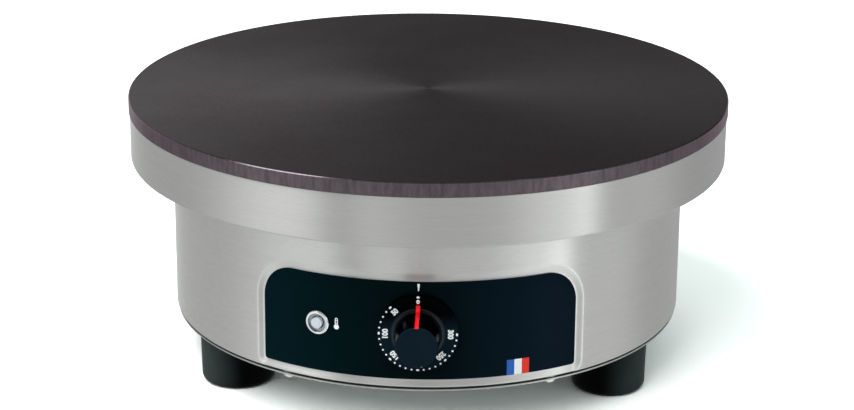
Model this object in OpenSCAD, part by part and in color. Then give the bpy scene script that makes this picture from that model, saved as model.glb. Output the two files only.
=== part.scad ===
// Electric crepe maker: a cast-iron griddle plate on a sheet-steel collar and body, with one control knob.
// Millimetres. The origin is on the floor under the plate's axis, +Z is up and the control panel faces -Y.

/* [Griddle plate] */
// Diameter of the griddle plate
plate_d = 400; // [385:5:430]
// Height of the plate's visible rim
plate_rim_h = 9.25; // [7:0.25:14]
// Depth of the step under the plate that nests inside the collar
plate_step_h = 5; // [4:0.5:7]
// Radial gap between that step and the collar's wall
plate_step_gap = 6; // [2:0.5:10]
// Chamfer on the plate's top edge
plate_chamfer = 0.7; // [0.3:0.1:1.5]
// Height of the cast bosses that take the plate studs
boss_h = 9.5; // [8:0.5:11]
// Diameter of the cast bosses
boss_d = 22; // [18:1:25]

/* [Collar band] */
// How far the plate's rim stands out past the collar
collar_inset = 0.7; // [0.6:0.1:3]
// Height of the collar band
collar_h = 32.55; // [31:0.05:40]
// Open gap between the collar's top edge and the plate
collar_gap = 0.3; // [0.2:0.05:0.8]
// How far the collar stands out past the body
collar_overhang = 28.1; // [22:0.1:34]

/* [Body] */
// Height of the body shell
body_h = 102.4; // [98:0.1:125]
// Thickness of the stainless sheet of the body and the collar
sheet_t = 1; // [0.8:0.1:1.5]
// Width of the flange at the body's lower edge
base_flange_w = 15; // [14:0.5:17]
// Open gap between the body's lower edge and the bottom plate
base_gap = 1.3; // [1:0.1:2.5]
// Thickness of the bottom plate
bottom_t = 1; // [0.8:0.1:2]
// How far the bottom plate's edge stays inside the body's wall
bottom_inset = 0.8; // [0.3:0.1:2]
// Distance of the bottom screws from the body's wall
bottom_screw_inset = 6.2; // [6:0.1:7]

/* [Control panel] */
// Width of the panel, measured along the body's curve
panel_w = 208.6; // [190:0.2:220]
// Height of the panel
panel_h = 64.8; // [60:0.2:72]
// Height of the panel's lower edge above the body's lower edge
panel_rise = 5.4; // [4:0.1:9]
// Radius of the panel's upper corners
panel_top_r = 22; // [10:1:28]
// Radius of the panel's lower corners
panel_bottom_r = 2; // [1:0.5:8]
// Thickness of the panel
panel_t = 0.8; // [0.5:0.1:1.2]
// Width of the pressed border around the panel
pocket_border = 2.8; // [2:0.1:5]
// Depth of the pressed pocket that the panel lies in
pocket_depth = 1.6; // [1:0.1:2.4]

/* [Knob] */
// Height of the knob's axis above the panel's lower edge
knob_rise = 32.2; // [30:0.2:36]
// Diameter of the dial skirt
skirt_d = 50.4; // [44:0.2:56]
// Height of the skirt's face over the panel
skirt_h = 4; // [3.6:0.1:6]
// Thickness of the skirt's face
skirt_t = 2; // [1.5:0.1:2.2]
// Running gap between the skirt and the panel
skirt_gap = 0.8; // [0.5:0.1:1.2]
// Diameter of the grip where it meets the skirt
grip_base_d = 29.2; // [27:0.2:32]
// Diameter of the grip's face
grip_face_d = 26; // [22:0.2:27]
// Height of the grip over the skirt
grip_h = 22.8; // [18:0.2:24]
// Radius of the round where the grip meets the skirt
grip_fillet = 2.6; // [1:0.2:3]
// Width of the pointer
pointer_w = 2.6; // [2:0.2:4]
// Length of the pointer's foot on the skirt, past that round
pointer_foot = 1.8; // [1:0.1:3]
// Diameter of the thermostat's shaft
shaft_d = 6; // [5:0.5:7]

/* [Signal lamp] */
// Distance from the panel's middle to the lamp, along the body's curve
lamp_arc = 64.7; // [45:0.1:75]
// Height of the lamp above the panel's lower edge
lamp_rise = 32.6; // [24:0.2:36]
// Diameter of the bezel
bezel_d = 16; // [15:0.5:20]
// Height of the bezel over the panel
bezel_h = 2.2; // [1.5:0.1:3]
// Diameter of the lens
lens_d = 7.9; // [5:0.1:8]
// Height of the lens over the panel
lens_h = 3.4; // [2.4:0.1:4]
// Diameter of the lamp's threaded neck
neck_d = 10; // [9.6:0.2:11]

/* [Feet] */
// Height of the feet
foot_h = 35.2; // [30:0.2:60]
// Diameter of a foot at its top
foot_d = 50; // [40:1:54]
// How much narrower in radius a foot is at the floor
foot_taper = 0.7; // [0:0.1:2]
// Radius of a foot's lower edge
foot_edge_r = 5; // [1:0.5:8]
// Distance from the body's wall to the foot's side
foot_setback = 4.4; // [3:0.1:8]

/* [Heating] */
// Diameter of the heating tubes
tube_d = 8; // [7:0.5:9]
// Depth to which the tubes lie in the plate's grooves
groove_depth = 2; // [1:0.5:3]
// Radius of the inner heating loop
inner_loop_r = 76; // [73:1:90]
// Gap between the outer heating loop and the collar's flange
outer_loop_gap = 5; // [4:0.5:12]
// Thickness of the clamp bars
clamp_t = 3; // [2:0.5:4]
// Width of the clamp bars
clamp_w = 20; // [14:1:26]
// Thickness of the insulation disc
insulation_t = 8; // [5:0.5:9]
// Height of the heat shield over the collar's flange
shield_rise = 3; // [2:0.5:4]
// Height of the heat shield's rim
shield_rim_h = 10; // [6:0.5:13]
// Diameter of the sensing bulb
bulb_d = 6; // [5:0.5:7]
// Length of the sensing bulb
bulb_len = 90; // [70:1:94]

/* [Mains inlet] */
// Height of the cable gland above the body's lower edge
gland_rise = 30.5; // [28:0.5:60]
// Bore of the gland for the mains cable
gland_bore = 12; // [8:0.5:12.5]
// Width of the terminal block
block_w = 54; // [50:1:64]
// Depth of the terminal block
block_d = 24; // [20:1:28]
// Height of the terminal block
block_h = 20; // [17:1:26]

/* [Hidden] */
$fn = 96;

// Clearances
fit = 0.05;      // radial clearance of a shaft or a bolt in its own hole
hole_play = 0.2; // radial play of a screw in a plain hole
seat = 0.02;     // gap where a flat face seats on a curved one
cut = 1;         // overshoot of a cutting solid
thread_out = 2;  // how far a large thread stands out past its nut
thread_out_small = 1;

// Heights, from the floor up
z_bottom = foot_h;
z_floor_top = z_bottom + bottom_t;
z_body = z_floor_top + base_gap;
z_step = z_body + body_h;
z_flange = z_step + sheet_t;
z_collar_top = z_step + collar_h;
z_rim = z_collar_top + collar_gap;
z_top = z_rim + plate_rim_h;
z_under = z_rim - plate_step_h;
z_boss = z_under - boss_h;

// Radii
plate_r = plate_d / 2;
collar_r = plate_r - collar_inset;
step_r = collar_r - sheet_t - plate_step_gap;
body_r = collar_r - collar_overhang;
bottom_r = body_r - bottom_inset;
base_flange_r = body_r - base_flange_w;
pocket_r = body_r - pocket_depth;
panel_r = pocket_r + panel_t;

// Bolt circles: six screws and rivets, three studs and feet, three clamp bars between them
six_start = 0;
three_start = 90;
clamp_start = 30;

// Plate studs and their washers, seated on the flanges of the collar and the body
stud_d = 8;
stud_nut_af = 13;
stud_nut_h = 6.5;
washer_d = 16;
washer_t = 1.6;
washer_gap = 1;
stud_r = body_r - sheet_t - washer_gap - washer_d / 2;
flange_r = stud_r - washer_d / 2 - 2 * washer_gap;
stud_depth = 4;   // how far a stud reaches past its boss into the plate
z_stud_washer = z_step - sheet_t - washer_t;
z_stud_nut = z_stud_washer - stud_nut_h;

// Rivets
rivet_d = 4;
rivet_head_d = 8;
rivet_head_h = 1.2;
rivet_tail_d = 6.4;
rivet_tail_h = 2;

// Bottom screws in pressed feet of the body's flange
bottom_screw_d = 4;
bottom_screw_len = 8;
bottom_head_d = 8;
bottom_head_h = 3.9;
bottom_screw_r = body_r - bottom_screw_inset;
press_d = 9;      // diameter of a pressed foot

// Feet
foot_r = body_r - foot_setback - foot_d / 2;
foot_bolt_d = 6;
foot_head_d = 14;
foot_head_h = 5;
foot_recess_d = 17;
foot_recess_h = 22;
foot_nut_af = 10;
foot_nut_h = 6;

// Heating parts
tube_r = tube_d / 2;
z_tube = z_under + groove_depth - tube_r;
outer_loop_r = flange_r - outer_loop_gap - tube_r;
loop_end_gap = 20;   // half the distance between the two ends of a loop
end_bend_r = 10;     // radius of the bend at a loop's end
end_drop = 16;       // straight length below that bend
joint_len = 1.2;     // length of the brazed joint between a loop and its end
seal_d = 7;
seal_h = 6;
pin_d = 4;
pin_h = 14;
pin_nut_af = 7;
pin_nut_h = 3.2;
z_end = z_tube - end_bend_r - end_drop;
z_pin_nut = z_end - seal_h - pin_nut_h;
clamp_overlap = 6;   // how far a bar reaches past a tube
clamp_in = inner_loop_r - tube_r - clamp_overlap;
clamp_out = outer_loop_r + tube_r + clamp_overlap / 2;
clamp_stud_d = 6;
clamp_stud_depth = 7;
clamp_stud_r = (inner_loop_r + outer_loop_r) / 2;
clamp_nut_af = 10;
clamp_nut_h = 5;
z_clamp = z_tube - tube_r - fit;
z_clamp_nut = z_clamp - clamp_t - clamp_nut_h;
shield_t = 0.8;
shield_gap = 8;
shield_r = collar_r - sheet_t - shield_gap;
z_shield = z_flange + shield_rise;
z_shield_top = z_shield + shield_t;
sleeve_d = 16;
spacer_d = 14;
pass_play = 1.5;  // radial play of the heat shield and insulation around what passes through

// Sensing bulb, under the plate inside the inner loop
bulb_y = -25;
z_bulb = z_under - bulb_d / 2 - fit;
clip_t = 1.1;
clip_w = 14;
clip_ear = 12;
clip_screw_edge = 5; // from the screw to the end of the clip's ear
clip_screw_y = bulb_y + bulb_d / 2 + clip_ear - clip_screw_edge;
clip_screw_d = 5;
clip_screw_af = 8;
clip_screw_h = 3.5;
capillary_d = 2;
capillary_drop = 6; // how far it goes straight down below the heat shield
capillary_lead = 12; // how far it goes on past the bulb
capillary_x = bulb_len / 2 + capillary_lead;

// Control panel
z_panel = z_body + panel_rise;
z_panel_top = z_panel + panel_h;
half_panel = panel_w / 2;
corner_steps = 8;

// Knob and thermostat, measured outwards from the face of the panel
z_knob = z_panel + knob_rise;
skirt_wall = 1.6;
skirt_edge = 0.5;
hub_d = 14;
grip_edge = 1;
shaft_in_grip = 15.5;
shaft_end_gap = 0.3;
shaft_flat = 1.5;
shaft_round = 1;     // length of the round part of the shaft in the grip
shaft_reach = skirt_h + shaft_in_grip;
shaft_flat_from = skirt_h + shaft_round;
bore_reach = shaft_reach + shaft_end_gap;
grip_slope = atan((grip_base_d - grip_face_d) / 2 / grip_h);
grip_round_r = grip_base_d / 2 + grip_fillet * (1 - sin(grip_slope)) / cos(grip_slope);
pointer_reach = grip_round_r + pointer_foot;
pointer_raise = 0.35;
pointer_sink = 1;
bush_d = 10;
bush_reach = 0.2;
t_pitch = 28;        // distance between the thermostat's screws
t_screw_d = 4;
t_head_d = 7.5;
t_head_h = 1.8;
t_spacer_d = 8;
t_spacer_len = 8;
t_frame_w = 44;
t_frame_h = 38;
t_frame_t = 1.6;
t_housing_w = 42;
t_housing_h = 36;
t_housing_len = 34;
t_bearing = 8;       // length of the shaft's bearing inside the housing
t_tab_w = 6.3;
t_tab_t = 0.8;
t_tab_len = 8;
t_tab_x = 12;
t_tab_y = 9;
t_capillary_y = 15;  // height at which the capillary enters the housing's back
wall_back = panel_t + sheet_t;
function sag(r, x) = r - sqrt(r * r - x * x);
t_head_seat = -panel_t - sag(pocket_r, t_pitch / 2 - t_head_d / 2) + seat;
t_spacer_front = -wall_back - sag(pocket_r - sheet_t, t_pitch / 2 + t_spacer_d / 2) - seat;
t_frame_front = t_spacer_front - t_spacer_len;
t_housing_front = t_frame_front - t_frame_t;
t_housing_back = t_housing_front - t_housing_len;

// Signal lamp
z_lamp = z_panel + lamp_rise;
lamp_angle = lamp_arc / body_r * 180 / PI;
neck_len = 14;
bezel_step_d = 11;
bezel_step_h = 1.2;
lamp_wall = 0.9;
lamp_bore_d = neck_d - 2 * lamp_wall;
lamp_seat = -3;      // where the lens rests on the lamp's body
lamp_body_len = 22;
lamp_back = lamp_seat - lamp_body_len;
lamp_tag_x = 2;
lens_crown = 1.2;    // height of the lens's round top
lamp_nut_af = 14;
lamp_nut_h = 3;
lamp_nut_front = -wall_back - sag(pocket_r - sheet_t, lamp_nut_af / 2 / cos(30)) - seat;
lamp_tag_w = 2.8;
lamp_tag_t = 0.5;
lamp_tag_len = 6;

// Cable gland on a pressed flat at the rear
z_gland = z_body + gland_rise;
flat_depth = 1.6;
flat_h = 40;
flat_w = 60;
flat_y = body_r - flat_depth;
gland_thread_d = 20;
gland_cap_thread_d = 19;
gland_af = 24;
gland_hex_h = 6;
gland_in = 9;
gland_neck_h = 17;
gland_cap_gap = 0.3;
gland_cap_h = 24;
gland_wall_d = 14;   // bore of the gland's body, which holds the seal
gland_mouth_d = 13;
gland_lip = 2;
gland_seal_start = 2;
locknut_af = 26;
locknut_h = 5;

// Terminal block and earth stud on the bottom plate
block_inset = 62;
block_y = body_r - block_inset;
pole_pitch = 18;
insert_d = 7;
insert_bore = 4.2;
insert_proud = 1;
insert_rise = 10;
z_insert = z_floor_top + insert_rise;
terminal_screw_d = 4;
terminal_screw_proud = 1.5;
block_screw_d = 3.5;
block_head_d = 6.5;
block_head_h = 2.4;
block_nut_af = 6;
block_nut_h = 2.6;
earth_gap = 16;
earth_x = block_w / 2 + earth_gap;
earth_d = 5;
earth_h = 20;
earth_nut_af = 8;
earth_nut_h = 4;
earth_nut_z = 6;

// Wires
wire_d = 3.2;
lamp_wire_d = 1.8;
wire_sides = 8;
wire_steps = 22;
wire_gap = 0.3;
pin_gap = 0.6;       // between a pin and the lead that ends beside it
wire_in = 5;         // how far a wire reaches into its terminal

// How far each wire runs on in the direction in which it leaves one end and reaches the other
supply_run = [80, 60];
lead_run = [90, 50];
lead_lift = 10;      // how much the leads come up to the pins from below
link_run = 20;
link_drop = 4;       // how much the links between the loops hang down
lamp_run = [30, 30];
lamp_spread = [15, 5];
earth_run = 30;
capillary_run = [8, 6, 40];

// Colours
iron = [0.23, 0.22, 0.23];
steel = [0.78, 0.78, 0.77];
zinc = [0.66, 0.67, 0.68];
blue_black = [0.03, 0.09, 0.11];
black = [0.06, 0.06, 0.07];
red = [0.87, 0.14, 0.17];
bright = [0.9, 0.9, 0.9];
brass = [0.8, 0.66, 0.35];
ceramic = [0.92, 0.9, 0.84];
mineral = [0.93, 0.92, 0.88];
copper = [0.79, 0.5, 0.36];
wire_brown = [0.42, 0.26, 0.16];
wire_white = [0.85, 0.84, 0.78];
wire_grey = [0.2, 0.2, 0.22];
wire_green = [0.55, 0.7, 0.2];

// n copies on a circle of radius r
module around(n, start, r) {
  for (i = [0:n - 1])
    rotate([0, 0, start + i * 360 / n])
      translate([r, 0, 0])
        children();
}

// A frame whose +Z points out of the panel, with its origin on the panel's face
module at_panel(angle, z) {
  rotate([0, 0, -angle])
    translate([0, -panel_r, z])
      rotate([90, 0, 0])
        children();
}

// A frame whose +Z points out of the flat at the rear of the body
module at_rear() {
  translate([0, flat_y, z_gland])
    rotate([-90, 0, 0])
      children();
}

// A cylinder between two heights of its frame
module rod(d, from, to) {
  translate([0, 0, from])
    cylinder(d = d, h = to - from);
}

module tube(d, bore, from, to) {
  difference() {
    rod(d, from, to);
    rod(bore, from - cut, to + cut);
  }
}

module hex(af, from, to) {
  translate([0, 0, from])
    cylinder(d = af / cos(30), h = to - from, $fn = 6);
}

module hex_nut(af, bore, from, to) {
  difference() {
    hex(af, from, to);
    rod(bore, from - cut, to + cut);
  }
}

// A screw head with a flat underside at z = 0 and a round top below it
module dome_head(d, h) {
  ball_r = (d * d / 4 + h * h) / (2 * h);
  intersection() {
    translate([0, 0, ball_r - h])
      sphere(r = ball_r);
    rod(d + cut, -h, 0);
  }
}

// Points of a quarter of a round edge in a profile
function edge_arc(x, y, r, from, to) =
  [for (i = [0:corner_steps])
    let (a = from + (to - from) * i / corner_steps)
    [x + r * cos(a), y + r * sin(a)]];

// Horizontal place of a point at a distance s along the body's curve
function wrapped(s) = body_r * sin(s / body_r * 180 / PI);

function wrapped_points(points) = [for (p = points) [wrapped(p[0]), p[1]]];

// Outline with round upper and lower corners, laid around the body's front
module wrapped_outline(half_w, low, high, low_r, high_r) {
  polygon(wrapped_points(concat(
    edge_arc(half_w - low_r, low + low_r, low_r, -90, 0),
    edge_arc(half_w - high_r, high - high_r, high_r, 0, 90),
    edge_arc(-half_w + high_r, high - high_r, high_r, 90, 180),
    edge_arc(-half_w + low_r, low + low_r, low_r, 180, 270)
  )));
}

// What a 2D outline covers at the front of the body
module front_block() {
  rotate([90, 0, 0])
    linear_extrude(body_r + cut)
      children();
}

// The pressed pocket that the panel lies in, for a wall that is inset by t
module pocket_cut(t) {
  border = pocket_border + t;
  difference() {
    front_block()
      wrapped_outline(half_panel + border, z_panel - border, z_panel_top + border,
        panel_bottom_r + border, panel_top_r + border);
    rod(2 * (pocket_r - t), z_bottom, z_step);
  }
}

// The pressed flat behind the cable gland
module flat_cut(t) {
  translate([-flat_w / 2, flat_y - t, z_gland - flat_h / 2 - t])
    cube([flat_w, flat_depth + t + cut, flat_h + 2 * t]);
}

module body_form(t) {
  difference() {
    rod(2 * (body_r - t), z_body + t, z_step - t);
    pocket_cut(t);
    flat_cut(t);
  }
}

// A closed loop of heating tube whose two ends turn down through the heat shield
module heating_loop(r) {
  open = asin(loop_end_gap / r);
  rotate([0, 0, three_start + open])
    rotate_extrude(angle = 360 - 2 * open)
      translate([r, z_tube])
        circle(r = tube_r);
  rotate([0, 0, three_start - open])
    translate([r, 0, 0])
      loop_end();
  rotate([0, 0, three_start + open])
    translate([r, 0, 0])
      mirror([0, 1, 0])
        loop_end();
}

// The bend at one end of a loop, the straight length below it and the joint with the loop
module loop_end() {
  translate([0, 0, z_tube - end_bend_r])
    rotate([90, 0, 90])
      rotate_extrude(angle = 90)
        translate([end_bend_r, 0])
          circle(r = tube_r);
  translate([0, end_bend_r, 0])
    rod(tube_d, z_end, z_tube - end_bend_r);
  translate([0, joint_len / 2, z_tube])
    rotate([90, 0, 0])
      cylinder(d = tube_d + fit, h = joint_len);
}

// Where one straight end of a loop stands
function end_x(r, side) =
  let (a = three_start + side * asin(loop_end_gap / r))
  r * cos(a) + side * end_bend_r * sin(a);
function end_y(r, side) =
  let (a = three_start + side * asin(loop_end_gap / r))
  r * sin(a) - side * end_bend_r * cos(a);

module at_loop_ends() {
  for (r = [inner_loop_r, outer_loop_r])
    for (side = [-1, 1])
      translate([end_x(r, side), end_y(r, side), 0])
        children();
}

// A point seen from the panel: u across, v up, h outwards from its face
function panel_point(angle, u, v, h) = [
  u * cos(angle) - (panel_r + h) * sin(angle),
  -u * sin(angle) - (panel_r + h) * cos(angle),
  v
];

// Points of a curve from p0, which it leaves along d0, to p1, which it reaches from p1 + d1
function route(p0, d0, p1, d1) =
  [for (i = [0:wire_steps])
    let (t = i / wire_steps, s = 1 - t)
    s * s * s * p0 + 3 * s * s * t * (p0 + d0) + 3 * s * t * t * (p1 + d1) + t * t * t * p1];

function unit(v) = v / norm(v);

// One ring of a wire's skin around point i of its path
function wire_ring(path, i, r, ref) =
  let (
    n = len(path) - 1,
    along = unit(path[min(i + 1, n)] - path[max(i - 1, 0)]),
    across = unit(cross(along, ref)),
    over = cross(along, across)
  )
  [for (j = [0:wire_sides - 1])
    let (a = 360 * j / wire_sides)
    path[i] + r * (cos(a) * across + sin(a) * over)];

// A round wire along a path; ref is a direction that the path never takes
module wire(path, d, ref) {
  n = len(path);
  skin = [for (i = [0:n - 1]) each wire_ring(path, i, d / 2, ref)];
  sides = [for (i = [0:n - 2], j = [0:wire_sides - 1])
    let (
      k = (j + 1) % wire_sides,
      a = i * wire_sides + j,
      b = i * wire_sides + k
    )
    each [[a, a + wire_sides, b + wire_sides], [a, b + wire_sides, b]]];
  start_cap = [for (j = [0:wire_sides - 1]) j];
  end_cap = [for (j = [wire_sides - 1:-1:0]) (n - 1) * wire_sides + j];
  polyhedron(points = skin, faces = concat(sides, [start_cap, end_cap]));
}

module griddle_plate() {
  color(iron)
    difference() {
      union() {
        rod(plate_d, z_rim, z_top - plate_chamfer);
        translate([0, 0, z_top - plate_chamfer])
          cylinder(r1 = plate_r, r2 = plate_r - plate_chamfer, h = plate_chamfer);
        rod(2 * step_r, z_under, z_rim);
        around(3, three_start, stud_r)
          rod(boss_d, z_boss, z_rim);
      }
      for (r = [inner_loop_r, outer_loop_r]) {
        rotate_extrude()
          translate([r, z_tube])
            circle(r = tube_r + fit);
        end_relief(r);
      }
      around(3, three_start, stud_r)
        rod(stud_d + 2 * fit, z_boss - cut, z_under + stud_depth + fit);
      around(3, clamp_start, clamp_stud_r)
        rod(clamp_stud_d + 2 * fit, z_under - cut, z_under + clamp_stud_depth + fit);
      translate([0, clip_screw_y, 0])
        rod(clip_screw_d + 2 * fit, z_under - cut, z_under + clamp_stud_depth + fit);
    }
}

// Room in the plate's underside for the bends at a loop's ends
module end_relief(r) {
  low = r * cos(asin(loop_end_gap / r)) - tube_r - cut;
  translate([-loop_end_gap, low, z_under - cut])
    cube([2 * loop_end_gap, r + tube_r + cut - low, groove_depth + fit + cut]);
}

module collar_band() {
  color(steel)
    difference() {
      rotate_extrude()
        polygon([
          [flange_r, z_step],
          [collar_r, z_step],
          [collar_r, z_collar_top],
          [collar_r - sheet_t, z_collar_top],
          [collar_r - sheet_t, z_flange],
          [flange_r, z_flange]
        ]);
      around(3, three_start, stud_r)
        rod(stud_d + 2 * hole_play, z_step - cut, z_flange + cut);
      around(6, six_start, stud_r)
        rod(rivet_d + 2 * fit, z_step - cut, z_flange + cut);
    }
}

module body_shell() {
  color(steel)
    difference() {
      union() {
        difference() {
          body_form(0);
          body_form(sheet_t);
        }
        around(6, six_start, bottom_screw_r)
          rod(press_d, z_floor_top, z_body + sheet_t);
      }
      rod(2 * flange_r, z_step - sheet_t - cut, z_step + cut);
      rod(2 * base_flange_r, z_body - cut, z_body + sheet_t + cut);
      around(6, six_start, bottom_screw_r) {
        rod(press_d - 2 * sheet_t, z_floor_top + sheet_t, z_body + sheet_t + cut);
        rod(bottom_screw_d + 2 * fit, z_floor_top - cut, z_floor_top + sheet_t + cut);
      }
      around(3, three_start, stud_r)
        rod(stud_d + 2 * hole_play, z_step - sheet_t - cut, z_step + cut);
      around(6, six_start, stud_r)
        rod(rivet_d + 2 * fit, z_step - sheet_t - cut, z_step + cut);
      at_panel(0, z_knob) {
        rod(bush_d + 2 * hole_play, -skirt_d / 2, cut);
        thermostat_holes(t_screw_d + 2 * hole_play);
      }
      at_panel(lamp_angle, z_lamp)
        rod(neck_d + 2 * hole_play, -skirt_d / 2, cut);
      at_rear()
        rod(gland_thread_d + 2 * hole_play, -flat_h / 2, cut);
    }
}

module thermostat_holes(d) {
  for (x = [-1, 1] * t_pitch / 2)
    translate([x, 0, 0])
      rod(d, -skirt_d / 2, cut);
}

module bottom_plate() {
  color(zinc)
    difference() {
      rod(2 * bottom_r, z_bottom, z_floor_top);
      around(6, six_start, bottom_screw_r)
        rod(bottom_screw_d + 2 * hole_play, z_bottom - cut, z_floor_top + cut);
      around(3, three_start, foot_r)
        rod(foot_bolt_d + 2 * hole_play, z_bottom - cut, z_floor_top + cut);
      at_block_screws()
        rod(block_screw_d + 2 * hole_play, z_bottom - cut, z_floor_top + cut);
    }
}

module bottom_screws() {
  color(zinc)
    around(6, six_start, bottom_screw_r) {
      rod(bottom_screw_d, z_bottom, z_bottom + bottom_screw_len);
      translate([0, 0, z_bottom])
        dome_head(bottom_head_d, bottom_head_h);
    }
}

module foot() {
  low_r = foot_d / 2 - foot_taper;
  color(black)
    difference() {
      rotate_extrude()
        polygon(concat(
          [[0, 0]],
          edge_arc(low_r - foot_edge_r, foot_edge_r, foot_edge_r, -90, 0),
          [[foot_d / 2, foot_h], [0, foot_h]]
        ));
      rod(foot_recess_d, -cut, foot_recess_h);
      rod(foot_bolt_d + 2 * hole_play, -cut, foot_h + cut);
    }
}

// One place of the three on the feet's circle
module foot_at(angle) {
  rotate([0, 0, angle])
    translate([foot_r, 0, 0])
      foot();
}

module foot_front_left() { foot_at(three_start + 120); }
module foot_front_right() { foot_at(three_start + 240); }
module foot_rear() { foot_at(three_start); }

module foot_bolts() {
  color(zinc)
    around(3, three_start, foot_r) {
      rod(foot_bolt_d, foot_recess_h, z_floor_top + foot_nut_h + thread_out);
      rod(foot_head_d, foot_recess_h - foot_head_h, foot_recess_h);
    }
}

module foot_nuts() {
  color(zinc)
    around(3, three_start, foot_r)
      hex_nut(foot_nut_af, foot_bolt_d + 2 * fit, z_floor_top, z_floor_top + foot_nut_h);
}

module control_panel() {
  color(blue_black)
    difference() {
      intersection() {
        front_block()
          wrapped_outline(half_panel, z_panel, z_panel_top, panel_bottom_r, panel_top_r);
        tube(2 * panel_r, 2 * pocket_r, z_panel - cut, z_panel_top + cut);
      }
      at_panel(0, z_knob) {
        rod(bush_d + 4 * hole_play, -skirt_d / 2, cut);
        thermostat_holes(t_head_d + 4 * hole_play);
      }
      at_panel(lamp_angle, z_lamp)
        rod(neck_d + 2 * hole_play, -skirt_d / 2, cut);
    }
}

// Points of the round between skirt and grip, for a surface raised over the knob's own
function grip_round(raise) =
  edge_arc(grip_round_r, skirt_h + grip_fillet, grip_fillet - raise, 270, 180 + grip_slope);

// Half the profile of the knob, without its bore
function knob_profile() = concat(
  [[0, skirt_gap], [hub_d / 2, skirt_gap], [hub_d / 2, skirt_h - skirt_t]],
  [[skirt_d / 2 - skirt_wall, skirt_h - skirt_t], [skirt_d / 2 - skirt_wall, skirt_gap]],
  [[skirt_d / 2, skirt_gap]],
  edge_arc(skirt_d / 2 - skirt_edge, skirt_h - skirt_edge, skirt_edge, 0, 90),
  grip_round(0),
  edge_arc(grip_face_d / 2 - grip_edge, skirt_h + grip_h - grip_edge, grip_edge, 0, 90),
  [[0, skirt_h + grip_h]]
);

// The shaft's outline, round at first and with one flat towards its end
module shaft_form(d, to) {
  difference() {
    rod(d, t_housing_front - t_bearing + fit, to);
    translate([-d, d / 2 - shaft_flat, shaft_flat_from])
      cube([2 * d, d, to]);
  }
}

// Side view of the pointer: across is the distance from the knob's axis
module pointer_side(play) {
  sink = pointer_sink + play;
  base = grip_base_d / 2;
  face = grip_face_d / 2;
  polygon(concat(
    [[pointer_reach + play, skirt_h + pointer_raise]],
    grip_round(pointer_raise),
    [
      [face + pointer_raise, skirt_h + grip_h],
      [face - sink, skirt_h + grip_h],
      [base - sink, skirt_h - sink],
      [pointer_reach + play, skirt_h - sink]
    ]
  ));
}

module pointer_form(play) {
  width = pointer_w + 2 * play;
  translate([-width / 2, 0, 0])
    rotate([90, 0, 90])
      linear_extrude(width)
        pointer_side(play);
}

module control_knob() {
  color(black)
    at_panel(0, z_knob)
      difference() {
        rotate_extrude()
          polygon(knob_profile());
        shaft_form(shaft_d + 2 * fit, bore_reach);
        pointer_form(fit);
      }
}

module knob_pointer() {
  color(red)
    at_panel(0, z_knob)
      pointer_form(0);
}

module thermostat_shaft() {
  color(zinc)
    at_panel(0, z_knob)
      shaft_form(shaft_d, shaft_reach);
}

module thermostat_frame() {
  color(zinc)
    at_panel(0, z_knob)
      difference() {
        union() {
          translate([-t_frame_w / 2, -t_frame_h / 2, t_housing_front])
            cube([t_frame_w, t_frame_h, t_frame_t]);
          rod(bush_d, t_frame_front, bush_reach);
        }
        rod(shaft_d + 2 * fit, t_housing_front - cut, bush_reach + cut);
        for (x = [-1, 1] * t_pitch / 2)
          translate([x, 0, 0])
            rod(t_screw_d + 2 * fit, t_housing_front - cut, t_frame_front + cut);
      }
}

module thermostat_housing() {
  color(ceramic)
    at_panel(0, z_knob)
      difference() {
        translate([-t_housing_w / 2, -t_housing_h / 2, t_housing_back])
          cube([t_housing_w, t_housing_h, t_housing_len]);
        rod(shaft_d + 2 * fit, t_housing_front - t_bearing, t_housing_front + cut);
      }
}

// Six flat tabs on the housing's back: mains in, out to the elements, and the lamp
module thermostat_terminals() {
  color(brass)
    at_panel(0, z_knob)
      for (x = [-1, 0, 1] * t_tab_x, y = [-1, 1] * t_tab_y)
        translate([x - t_tab_w / 2, y - t_tab_t / 2, t_housing_back - t_tab_len])
          cube([t_tab_w, t_tab_t, t_tab_len]);
}

module thermostat_spacers() {
  color(zinc)
    at_panel(0, z_knob)
      for (x = [-1, 1] * t_pitch / 2)
        translate([x, 0, 0])
          tube(t_spacer_d, t_screw_d + 2 * hole_play, t_frame_front, t_spacer_front);
}

module thermostat_screws() {
  color(zinc)
    at_panel(0, z_knob)
      for (x = [-1, 1] * t_pitch / 2)
        translate([x, 0, 0]) {
          rod(t_screw_d, t_housing_front + fit, t_head_seat);
          rod(t_head_d, t_head_seat, t_head_seat + t_head_h);
        }
}

// The capillary leaves the bulb, goes down through the heat shield and reaches the housing's back
module thermostat_capillary() {
  bulb_end = [bulb_len / 2, bulb_y, z_bulb];
  above = [capillary_x, bulb_y, z_shield_top + insulation_t];
  below = [capillary_x, bulb_y, z_shield - capillary_drop];
  back = panel_point(0, 0, z_knob + t_capillary_y, t_housing_back - seat - fit);
  down = route(above, [0, 0, -1], below, [0, 0, 1]);
  home = route(below, [0, 0, -capillary_run[2]], back, [0, capillary_run[2], 0]);
  color(copper)
    wire(concat(
        route(bulb_end, [capillary_run[0], 0, 0], above, [0, 0, capillary_run[1]]),
        [down[wire_steps / 2]],
        home
      ), capillary_d, [1, -1, 1]);
}

module sensing_bulb() {
  color(copper)
    translate([-bulb_len / 2, bulb_y, z_bulb])
      rotate([0, 90, 0])
        cylinder(d = bulb_d, h = bulb_len);
}

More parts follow.
